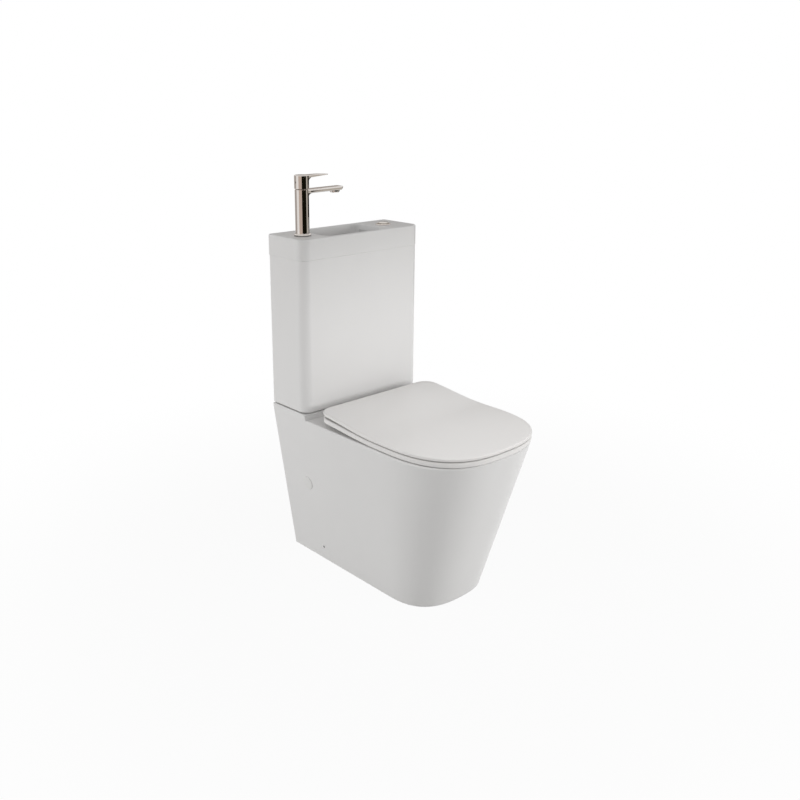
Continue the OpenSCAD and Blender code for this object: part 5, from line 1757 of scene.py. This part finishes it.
    def build_body(self, palette: Palette) -> None:
        """Makes the body with its spout, shank, chamber, waterways and the seat of the aerator.

        Args:
            palette: The finishes.
        """
        r, shank_r, low = self.body_d / 2, self.shank_d / 2, -self.shank_len
        outline = [(0.0, low), (shank_r - 0.6, low), (shank_r, low + 0.6), (shank_r, self.foot_h)]
        outline += [(r, self.foot_h), (r, self.pivot_h)] + self.dome(self.dome_r(), r)
        body = lathe("tap_body", outline, self.foot(), 128)
        seat = self.foot() + Vector((self.aerator_x, 0, self.aerator_h))
        way = self.foot() + Vector((self.chamber_d / 2 - 2, 0, self.spout_top - self.spout_t / 2 + 0.4))
        way_end = way + Vector((self.aerator_x - self.chamber_d / 2 + 2, 0, 0))
        arm_low = self.spout_top - self.spout_t + 0.5
        worked(
            body,
            (Work.ONTO, self.spout()),
            (Work.ONTO, self.flare(r, self.spout_fillet, arm_low, self.spout_fillet_half)),
            (Work.ONTO, rod("pod", seat, seat + Vector((0, 0, 7)), self.aerator_d + 3)),
            (Work.AWAY, self.bore(self.chamber_d, self.pivot_h - 24, self.top_h)),
            (Work.AWAY, self.bore(self.supply_d, low - 1, self.pivot_h)),
            (Work.AWAY, rod("way", way, way_end, self.spout_t - 4)),
            (Work.AWAY, rod("seat", seat - Vector((0, 0, 3)), seat + Vector((0, 0, 6)), self.aerator_d - 2)),
            (Work.AWAY, rod("rim", seat - Vector((0, 0, 4)), seat, self.aerator_d + 0.2)),
        )
        body.name = "tap_body_casting"
        dress(body, palette.chrome, "chrome", ROOT, ("tap_body",), 34)

    def build_handle(self, palette: Palette) -> None:
        """Makes the handle with its lever, the dome inside it and the hole for its screw.

        Args:
            palette: The finishes.
        """
        r, radius = self.handle_d / 2, self.dome_r() + self.dome_gap
        reach_in = math.sqrt(radius**2 - (self.handle_low - self.pivot_h) ** 2)
        round_r = self.crown_edge
        edge = [
            (r - round_r + round_r * math.sin(a), self.top_h - round_r + round_r * math.cos(a))
            for a in quarter(6)[::-1]
        ]
        under = self.dome(radius, reach_in)
        outline = under[::-1] + [(r - 0.4, self.handle_low), (r, self.handle_low + 0.4)] + edge
        outline += [(0.0, self.top_h)]
        handle = lathe("tap_handle", outline, self.foot(), 128)
        hole = self.foot() + Vector((0, 0, self.top_h - 16))
        worked(
            handle,
            (Work.ONTO, self.lever_clear_of_dome()),
            (Work.AWAY, self.bore(self.stem_hole_d, self.pivot_h, self.top_h - 11.9)),
            (Work.AWAY, rod("hole", hole - Vector((self.handle_d, 0, 0)), hole, self.screw_hole_d, 40)),
        )
        handle.name = "tap_handle_casting"
        dress(handle, palette.chrome, "chrome", "tap_handle", ("tap_lever",), 34)

    def lever_clear_of_dome(self) -> Solid:
        """Gives the lever cut back to what stands outside the handle's hollow.

        Returns:
            The lever.
        """
        radius = self.dome_r() + self.dome_gap
        arc = [
            (radius * math.cos(a), self.pivot_h + radius * math.sin(a))
            for a in (math.pi * (k / 24 - 0.5) for k in range(1, 24))
        ]
        poles = [(0.0, self.pivot_h - radius), (0.0, self.pivot_h + radius)]
        ball = lathe("ball", [poles[0], *arc, poles[1]], self.foot())
        under = self.top_h - self.lever_t - 1.0
        return worked(
            self.lever(),
            (Work.ONTO, self.flare(self.handle_d / 2, self.lever_fillet, under, self.lever_fillet_half)),
            (Work.AWAY, ball),
            (Work.AWAY, self.bore(60.0, 60.0, self.handle_low)),
        )


# ---------------------------------------------------------------- repeats grown by geometry nodes


@dataclass
class NodeTree:
    """A geometry node tree under construction, with its own named inputs."""

    name: str
    inputs: dict[str, float]
    tree: bpy.types.GeometryNodeTree = field(init=False)
    sockets: dict[str, str] = field(init=False)
    source: bpy.types.Node = field(init=False)

    def __post_init__(self) -> None:
        """Makes the tree, its inputs and its output."""
        self.tree = bpy.data.node_groups.new(self.name, "GeometryNodeTree")
        face = self.tree.interface
        face.new_socket("Geometry", in_out="INPUT", socket_type="NodeSocketGeometry")
        self.sockets = {}
        for label, value in self.inputs.items():
            kind = "NodeSocketInt" if isinstance(value, int) else "NodeSocketFloat"
            socket = face.new_socket(label, in_out="INPUT", socket_type=kind)
            socket.default_value = value
            self.sockets[label] = socket.identifier
        face.new_socket("Geometry", in_out="OUTPUT", socket_type="NodeSocketGeometry")
        self.source = self.tree.nodes.new("NodeGroupInput")

    def node(
        self, kind: str, settings: dict | None = None, values: dict | None = None, links: dict | None = None
    ) -> bpy.types.Node:
        """Adds a node to the tree, as add_node does."""
        return add_node(self.tree, kind, settings, values, links)

    def size(self, label: str) -> Socket:
        """Gives the socket that one named input comes out of."""
        return self.source.outputs[label]

    def grow(self, name: str, shapes: Sequence[Socket], material: Material) -> Solid:
        """Ends the tree, runs it on an empty object and turns the result into a plain mesh.

        Args:
            name: The new object's name.
            shapes: The sockets whose shapes make up the piece.
            material: The finish that the tree sets.

        Returns:
            The object with its grown mesh.
        """
        join = self.node("GeometryNodeJoinGeometry")
        for shape in shapes:
            self.tree.links.new(shape, join.inputs[0])
        real = self.node("GeometryNodeRealizeInstances", links={"Geometry": join.outputs[0]})
        dressed = self.node(
            "GeometryNodeSetMaterial", values={"Material": material}, links={"Geometry": real.outputs[0]}
        )
        out = self.tree.nodes.new("NodeGroupOutput")
        self.tree.links.new(dressed.outputs[0], out.inputs[0])
        seed = new_object(name, bpy.data.meshes.new(name))
        modifier = seed.modifiers.new(self.name, "NODES")
        modifier.node_group = self.tree
        for label, value in self.inputs.items():
            modifier[self.sockets[label]] = value
        bpy.context.view_layer.update()
        grown = bpy.data.meshes.new_from_object(seed.evaluated_get(bpy.context.evaluated_depsgraph_get()))
        seed.modifiers.clear()
        old, seed.data = seed.data, grown
        bpy.data.meshes.remove(old)
        return seed


def grow_spring(
    name: str, mean_d: float, wire_d: float, length: float, turns: int, material: Material
) -> Solid:
    """Winds a coil spring that stands on the origin.

    Args:
        name: The spring's name.
        mean_d: Diameter of the coil at the middle of the wire.
        wire_d: Diameter of the wire.
        length: Length over the ends.
        turns: Number of turns.
        material: The wire's finish.

    Returns:
        The spring.
    """
    tree = NodeTree(
        f"{name}_winding",
        {
            "Coil radius": mean_d / 2 * MM,
            "Wire radius": wire_d / 2 * MM,
            "Rise": (length - wire_d) * MM,
            "Turns": float(turns),
            "Steps a turn": 28,
        },
    )
    helix = tree.node(
        "GeometryNodeCurveSpiral",
        links={
            "Resolution": tree.size("Steps a turn"),
            "Rotations": tree.size("Turns"),
            "Start Radius": tree.size("Coil radius"),
            "End Radius": tree.size("Coil radius"),
            "Height": tree.size("Rise"),
        },
    )
    wire = tree.node(
        "GeometryNodeCurvePrimitiveCircle",
        values={"Resolution": 10},
        links={"Radius": tree.size("Wire radius")},
    )
    skin = tree.node(
        "GeometryNodeCurveToMesh",
        values={"Fill Caps": True},
        links={"Curve": helix.outputs[0], "Profile Curve": wire.outputs[0]},
    )
    lift = tree.node(
        "GeometryNodeTransform",
        values={"Translation": (0, 0, wire_d / 2 * MM)},
        links={"Geometry": skin.outputs[0]},
    )
    return tree.grow(name, [lift.outputs[0]], material)


def grow_perforation(
    name: str, rings: Sequence[tuple[int, float, float]], depth: float, material: Material
) -> Solid:
    """Sets upright drills on rings about the origin.

    Args:
        name: The name of the set of drills.
        rings: For each ring its count, its radius and its drill's diameter.
        depth: The drills' length.
        material: The finish of the piece that they cut.

    Returns:
        All the drills as one object.
    """
    inputs: dict[str, float] = {"Depth": depth * MM}
    for k, (count, radius, diameter) in enumerate(rings):
        inputs[f"Holes {k}"] = count
        inputs |= {f"Ring radius {k}": radius * MM, f"Hole radius {k}": diameter / 2 * MM}
    tree = NodeTree(f"{name}_pattern", inputs)
    shapes = []
    for k in range(len(rings)):
        ring = tree.node(
            "GeometryNodeCurvePrimitiveCircle",
            links={"Resolution": tree.size(f"Holes {k}"), "Radius": tree.size(f"Ring radius {k}")},
        )
        points = tree.node(
            "GeometryNodeCurveToPoints", {"mode": "EVALUATED"}, links={"Curve": ring.outputs[0]}
        )
        drill = tree.node(
            "GeometryNodeMeshCylinder",
            values={"Vertices": 28},
            links={"Radius": tree.size(f"Hole radius {k}"), "Depth": tree.size("Depth")},
        )
        placed = tree.node(
            "GeometryNodeInstanceOnPoints",
            links={"Points": points.outputs[0], "Instance": drill.outputs[0]},
        )
        shapes.append(placed.outputs[0])
    return tree.grow(name, shapes, material)


# ---------------------------------------------------------------- flush buttons


@dataclass
class FlushButtons:
    """The chromed pair of flush buttons in its ring, with a spring under each."""

    ring_d: float = 39.0
    ring_h: float = 2.2
    barrel_d: float = 34.0
    barrel_len: float = 44.0
    ledge_low: float = 30.0
    ledge_t: float = 3.0
    button_d: float = 28.0
    rise: float = 6.5
    skirt: float = 8.0
    dome_r: float = 60.0
    split: float = 4.0
    split_gap: float = 0.6
    leg_d: float = 5.0
    leg_len: float = 46.0
    full_leg: float = -4.0
    half_leg: float = 9.2
    spring_d: float = 8.0
    wire_d: float = 0.9
    turns: int = 6

    def foot(self) -> Vector:
        """Gives the point of the lid's top on the buttons' axis."""
        return place(BUTTON_X, BUTTON_REACH, LID_TOP)

    def ring(self) -> Solid:
        """Turns the ring with the barrel under it, and drills its ledge for the legs.

        Returns:
            The ring.
        """
        outer, bore = self.ring_d / 2, self.button_d / 2 + 0.2
        h, r = self.ring_h, self.barrel_d / 2
        profile = [
            (r, -self.barrel_len), (r, 0.0), (outer - 0.2, 0.0), (outer, 0.2), (outer, h - 1.1),
            (outer - 0.15, h - 0.7), (outer - 0.5, h - 0.3), (outer - 1.0, h - 0.06), (outer - 1.5, h),
            (bore + 1.0, h), (bore + 0.35, h - 0.2), (bore + 0.05, h - 0.6), (bore, h - 1.0),
            (bore, -self.ledge_low + self.ledge_t), (0.0, -self.ledge_low + self.ledge_t),
        ]
        profile = [(0.0, -self.ledge_low), (bore, -self.ledge_low), (bore, -self.barrel_len)] + profile
        made = lathe("button_ring", profile, self.foot(), 128)
        low = LID_TOP - self.ledge_low - 1
        drills = [
            upright(BUTTON_X + leg, BUTTON_REACH, low, low + self.ledge_t + 2, self.leg_d + 0.2)
            for leg in (self.full_leg, self.half_leg)
        ]
        return worked(made, *((Work.AWAY, drill) for drill in drills))

    def cap(self) -> Solid:
        """Turns the domed disc that both buttons are parted from.

        Returns:
            The disc.
        """
        r, edge = self.button_d / 2, 0.5
        side = self.rise - self.dome_r + math.sqrt(self.dome_r**2 - (r - edge) ** 2)
        dome = [
            (rr, self.rise - self.dome_r + math.sqrt(self.dome_r**2 - rr**2))
            for rr in np.linspace(r - edge, 0.0, 16)
        ]
        profile = [(0.0, -self.skirt), (r - 0.2, -self.skirt), (r, -self.skirt + 0.2), (r, side - edge)]
        profile += [(r - edge * (1 - math.cos(a)), side - edge + edge * math.sin(a)) for a in (0.5, 1.0)]
        profile += [(float(rr), float(z)) for rr, z in dome[:-1]] + [(0.0, self.rise)]
        return lathe("cap", profile, self.foot(), 128)

    def half(self, x_low: float, x_high: float, leg: float) -> Solid:
        """Parts one button from the disc and sets its leg under it.

        Args:
            x_low: Where it starts.
            x_high: Where it ends.
            leg: Place of its leg.

        Returns:
            The button.
        """
        corners = (BUTTON_X + x_low, BUTTON_REACH - 20, BUTTON_X + x_high, BUTTON_REACH + 20)
        keep = soft_rectangle(*corners, 0.2, 0.2, 2)
        block = loft("keep", [level(keep, LID_TOP - 20), level(keep, LID_TOP + 20)])
        low, high = LID_TOP - self.leg_len, LID_TOP - self.skirt + 0.1
        stick = upright(BUTTON_X + leg, BUTTON_REACH, low, high, self.leg_d)
        return worked(self.cap(), (Work.WITHIN, block), (Work.ONTO, stick))

    def build(self, palette: Palette) -> None:
        """Makes the ring, both buttons and their springs.

        Args:
            palette: The finishes.
        """
        ring = self.ring()
        ring.name = "button_ring_turning"
        dress(ring, palette.chrome, "chrome", ROOT, ("button_ring",), 30)
        past = 30.0
        for kind, low, high, leg in (
            ("full", -past, self.split, self.full_leg),
            ("half", self.split + self.split_gap, past, self.half_leg),
        ):
            button = self.half(low, high, leg)
            button.name = f"{kind}_flush_cap"
            # The buttons wear the browner chrome, whose brown is a painted reflection.
            dress(button, palette.chrome_painted_brown_reflection, "chrome", f"{kind}_button", (f"{kind}_flush_button",), 30)
        self.springs(palette)

    def springs(self, palette: Palette) -> None:
        """Winds both springs and sets each one under its button.

        Args:
            palette: The finishes.
        """
        length = self.ledge_low - self.ledge_t - self.skirt
        low = LID_TOP - self.ledge_low + self.ledge_t
        for leg, node, joint in (
            (self.full_leg, "full_button_spring", "full_button_press"),
            (self.half_leg, "half_button_spring", "half_button_press"),
        ):
            name = node.replace("_spring", "_coil")
            spring = grow_spring(name, self.spring_d, self.wire_d, length, self.turns, palette.steel)
            foot = place(BUTTON_X + leg, BUTTON_REACH, low) * MM
            spring.data.transform(Matrix.Translation(foot))
            dress(spring, palette.steel, "steel", ROOT, (node,), 60)
            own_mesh(spring)


# ---------------------------------------------------------------- fixings and the rest


@dataclass
class Waste:
    """The basin's chromed waste with its perforated strainer."""

    floor_depth: float = 64.0
    flange_d: float = 44.0
    flange_t: float = 3.0
    tail_d: float = 31.0
    basin_t: float = 8.0
    tail_len: float = 42.0
    strainer_t: float = 1.6
    hole_rings: tuple[tuple[int, float, float], ...] = ((6, 6.5, 4.0), (12, 11.2, 3.5))

    def build(self, palette: Palette) -> None:
        """Turns the flange and its tail, and perforates the strainer.

        Args:
            palette: The finishes.
        """
        floor = place(WASTE_X, INLET_REACH, LID_TOP - self.floor_depth)
        r, rim, top = self.tail_d / 2, self.flange_d / 2, self.flange_t
        bore, seat = r - 2.5, r + 1.5
        low, step = -self.basin_t - self.tail_len, top - self.strainer_t - 0.4
        profile = [
            (bore, low), (r, low), (r, 0.0), (rim - 0.2, 0.0), (rim, 0.25), (rim - 0.3, 1.4),
            (rim - 0.9, 2.4), (rim - 1.9, 2.9), (rim - 2.9, top), (seat + 0.3, top), (seat, top - 0.3),
            (seat, step), (bore, step),
        ]
        flange = lathe("waste_turning", profile, floor, 112)
        dress(flange, palette.chrome, "chrome", ROOT, ("basin_waste",), 28)
        half = self.strainer_t / 2
        disc = [
            (0.0, -half), (seat - 0.3, -half), (seat - 0.1, -half + 0.2), (seat - 0.1, half - 0.2),
            (seat - 0.3, half), (0.0, half),
        ]
        strainer = lathe("strainer_pressing", disc, Vector((0, 0, 0)), 112)
        drills = grow_perforation("strainer_drills", self.hole_rings, 9.0, palette.chrome)
        middle = rod("middle", Vector((0, 0, -5)), Vector((0, 0, 5)), 4.0, 28)
        worked(strainer, (Work.AWAY, drills), (Work.AWAY, middle))
        strainer.data.transform(Matrix.Translation((floor + Vector((0, 0, step + half))) * MM))
        dress(strainer, palette.chrome, "chrome", ROOT, ("waste_strainer",), 28)


@dataclass
class Fixings:
    """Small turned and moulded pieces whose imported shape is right, shaded as smooth ones."""

    angle: float = 32.0

    def build(self, palette: Palette) -> None:
        """Finishes a smooth copy of each of these pieces.

        Args:
            palette: The finishes.
        """
        pieces = {
            "side_screws": (ROOT, palette.steel_across, "steel"),
            "hinge_posts": (ROOT, palette.chrome, "chrome"),
            "hinge_pins": (ROOT, palette.steel_across, "steel"),
            "seat_buffers": ("seat", palette.soft_rubber, "soft_rubber"),
            "lid_buffers": ("lid", palette.soft_rubber, "soft_rubber"),
            "outlet_connector": (ROOT, palette.white, "white_plastic"),
            "outlet_seal": (ROOT, palette.black_rubber, "black_rubber"),
            "floor_brackets": (ROOT, palette.white, "white_plastic"),
            "tap_hose": (ROOT, palette.braid, "steel"),
        }
        for node, (body, material, slot) in pieces.items():
            copy = node_copy(node, f"{node}_finished")
            dress(copy, material, slot, body, (node,), self.angle)


def dress_carried_nodes(palette: Palette) -> None:
    """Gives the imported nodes, which stay as they are, the finish of their real material.

    Args:
        palette: The finishes to choose from.
    """
    slots = {part["node"]: part["material_slot"] for part in frame["record"]["subparts"]}
    for node, piece in frame["nodes"].items():
        material = palette.for_slot(slots[node])
        if not piece.material_slots:
            piece.data.materials.append(material)
        for held in piece.material_slots:
            held.material = material
        LOG.info("%s: packed node in %s", node, material.name)


# ---------------------------------------------------------------- the studio


def facing(at: Sequence[float], ahead: Vector) -> Matrix:
    """Gives the placing of a lamp or camera that stands at a point and looks ahead."""
    return Matrix.Translation(at) @ ahead.to_track_quat("-Z", "Y").to_matrix().to_4x4()


@dataclass
class Studio:
    """The camera, the pale floor, the white surround and the soft lamps."""

    camera_at: tuple[float, float, float] = (-1.42496, -1.46469, 1.15477)
    azimuth: float = -41.636
    elevation: float = 15.515
    focal_px: float = 916.375
    centre_px: tuple[float, float] = (371.187, 340.409)
    image_px: float = 800.0
    floor_reach: float = 14.0
    # The floor under the object is a little off white, and fades to white between two radii.
    floor_white: float = 0.94
    fade_radii: Point2 = (0.45, 1.6)
    ambient: float = 0.375
    card_reach: float = 2.7
    # Each card: its first and last bearing in degrees, its lower and upper edge, its colour.
    card_ring: tuple[tuple[float, float, float, float, str], ...] = (
        (53.0, 138.0, 0.05, 1.0, "#B9B3AF"),
        (178.0, 228.0, 0.05, 1.0, "#D0C0B6"),
        (228.0, 309.0, 0.05, 1.1, "#16140C"),
        (309.0, 340.0, 0.05, 1.0, "#C6C2BA"),
        (340.0, 413.0, 0.05, 1.0, "#2E2823"),
        (-60.0, 170.0, 1.0, 1.36, "#A8A09A"),
    )

    def build(self) -> None:
        """Sets up everything round the object."""
        self.camera()
        self.floor()
        self.surround()
        # The two big soft boxes shine nearly level, which leaves the cistern's top in the shade,
        # and the third lifts the seat lid.
        self.lamp("front_softbox", (1.25, -2.57, 0.95), (0.0, 0.0, 0.6), 2.4, 0.9, 37.5)
        self.lamp("left_softbox", (-2.4, 1.5, 0.7), (0.0, 0.1, 0.6), 2.2, 1.4, 31.5)
        self.lamp("low_softbox", (0.0, -0.38, 0.81), (0.0, -0.38, 0.0), 1.2, 0.7, 1.7)
        self.cards()

    def camera(self) -> None:
        """Places the camera at the photograph's viewpoint."""
        data = bpy.data.cameras.new("view")
        data.sensor_width = 36.0
        data.lens = 36.0 * self.focal_px / self.image_px
        data.shift_x = (self.image_px / 2 - self.centre_px[0]) / self.image_px
        data.shift_y = (self.centre_px[1] - self.image_px / 2) / self.image_px
        data.clip_end = 60.0
        holder = bpy.data.objects.new("view", data)
        bpy.context.scene.collection.objects.link(holder)
        az, el = math.radians(-self.azimuth), math.radians(self.elevation)
        ahead = Vector((math.sin(az) * math.cos(el), math.cos(az) * math.cos(el), -math.sin(el)))
        holder.matrix_world = facing(self.camera_at, ahead)
        bpy.context.scene.camera = holder

    def plain_material(self, name: str) -> Material:
        """Makes an empty node material.

        Args:
            name: Its name.

        Returns:
            The material.
        """
        material = bpy.data.materials.new(name)
        material.use_nodes = True
        material.node_tree.nodes.clear()
        return material

    def floor(self) -> None:
        """Lays the pale floor, which fades into the white surround and keeps the shadow."""
        half = self.floor_reach / 2
        corners = [(x * half, y * half, 0.0) for x, y in ((-1, -1), (1, -1), (1, 1), (-1, 1))]
        sheet = new_object("floor_sheet", bpy.data.meshes.new("floor_sheet"))
        sheet.data.from_pydata(corners, [], [(0, 1, 2, 3)])
        # Matt white paper: it takes the object's soft shadow and gives no gloss.
        material = self.plain_material("matt_paper_floor")
        tree = material.node_tree
        paper = add_node(tree, "ShaderNodeBsdfDiffuse", values={"Color": linear("#D2D2D1")})
        white = add_node(tree, "ShaderNodeEmission", values={"Color": linear("#FFFFFF"), "Strength": 1.0})
        path = add_node(tree, "ShaderNodeLightPath")
        seen = path.outputs["Is Camera Ray"]
        for ray in ("Is Glossy Ray", "Is Transmission Ray"):
            links = {0: seen, 1: path.outputs[ray]}
            seen = add_node(tree, "ShaderNodeMath", {"operation": "MAXIMUM"}, links=links).outputs[0]
        where = add_node(tree, "ShaderNodeTexCoord").outputs["Object"]
        away = add_node(tree, "ShaderNodeVectorMath", {"operation": "LENGTH"}, links={0: where})
        near, far = self.fade_radii
        fade = add_node(
            tree,
            "ShaderNodeMapRange",
            {"interpolation_type": "SMOOTHSTEP"},
            {"From Min": near, "From Max": far, "To Min": self.floor_white, "To Max": 1.0},
            {"Value": away.outputs["Value"]},
        )
        share = add_node(
            tree, "ShaderNodeMath", {"operation": "MULTIPLY"}, links={0: seen, 1: fade.outputs[0]}
        )
        mixed = add_node(
            tree, "ShaderNodeMixShader", links={0: share.outputs[0], 1: paper.outputs[0], 2: white.outputs[0]}
        )
        add_node(tree, "ShaderNodeOutputMaterial", links={"Surface": mixed.outputs[0]})
        sheet.data.materials.append(material)

    def surround(self) -> None:
        """Makes the surround white to the eye and in reflections, and softer as a light."""
        world = bpy.data.worlds.new("white_surround")
        world.use_nodes = True
        tree = world.node_tree
        tree.nodes.clear()
        path = add_node(tree, "ShaderNodeLightPath")
        soft, white = (
            add_node(tree, "ShaderNodeBackground", values={"Color": linear("#FFFFFF"), "Strength": strength})
            for strength in (self.ambient, 1.0)
        )
        share = add_node(
            tree,
            "ShaderNodeMath",
            {"operation": "SUBTRACT", "use_clamp": True},
            {0: 1.0},
            {1: path.outputs["Is Diffuse Ray"]},
        )
        mixed = add_node(
            tree, "ShaderNodeMixShader", links={0: share.outputs[0], 1: soft.outputs[0], 2: white.outputs[0]}
        )
        add_node(tree, "ShaderNodeOutputWorld", links={"Surface": mixed.outputs[0]})
        bpy.context.scene.world = world
        bpy.context.scene.view_settings.view_transform = "Standard"

    def lamp(
        self,
        name: str,
        at: tuple[float, float, float],
        aim: tuple[float, float, float],
        width: float,
        height: float,
        watts: float,
    ) -> None:
        """Hangs a soft lamp that lights the object and isn't seen itself.

        Args:
            name: The lamp's name.
            at: Its place in metres.
            aim: The point that it faces.
            width: Width of its face.
            height: Height of its face.
            watts: Its power.
        """
        data = bpy.data.lights.new(name, "AREA")
        data.shape = "RECTANGLE"
        data.size, data.size_y, data.energy = width, height, watts
        holder = bpy.data.objects.new(name, data)
        bpy.context.scene.collection.objects.link(holder)
        holder.matrix_world = facing(at, Vector(aim) - Vector(at))
        holder.visible_camera = holder.visible_glossy = False

    def cards(self) -> None:
        """Stands a ring of pale and dark cards round the object, which only glossy faces see."""
        sheet = new_object("studio_cards", bpy.data.meshes.new("studio_cards"))
        points: list[Vector] = []
        shades: list[int] = []
        for number, (start, end, low, high, hex_colour) in enumerate(self.card_ring):
            material = self.plain_material(f"matt_card_{number + 1}")
            tree = material.node_tree
            shade = {"Color": linear(hex_colour), "Strength": 1.0}
            glow = add_node(tree, "ShaderNodeEmission", values=shade)
            add_node(tree, "ShaderNodeOutputMaterial", links={"Surface": glow.outputs[0]})
            sheet.data.materials.append(material)
            steps = math.ceil((end - start) / 6)
            for k in range(steps):
                a, b = (math.radians(span(start, end, (k + i) / steps)) for i in (0, 1))
                points += [
                    Vector((self.card_reach * math.cos(bearing), self.card_reach * math.sin(bearing), z))
                    for bearing, z in ((a, low), (b, low), (b, high), (a, high))
                ]
                shades.append(number)
        sheet.data.from_pydata(points, [], [tuple(range(4 * k, 4 * k + 4)) for k in range(len(shades))])
        sheet.data.polygons.foreach_set("material_index", shades)
        for ray in ("camera", "diffuse", "transmission", "volume_scatter", "shadow"):
            setattr(sheet, f"visible_{ray}", False)


def main() -> None:
    """Builds the toilet's pieces in order and reports them."""
    logging.basicConfig(level=logging.INFO, format="%(message)s")
    palette = Palette()
    Studio().build()
    for assembly in (Pan(), Cistern(), SeatSet(), Tap(), FlushButtons(), Waste(), Fixings()):
        LOG.info("building the %s", type(assembly).__name__)
        assembly.build(palette)
    dress_carried_nodes(palette)


if __name__ == "__main__":
    main()
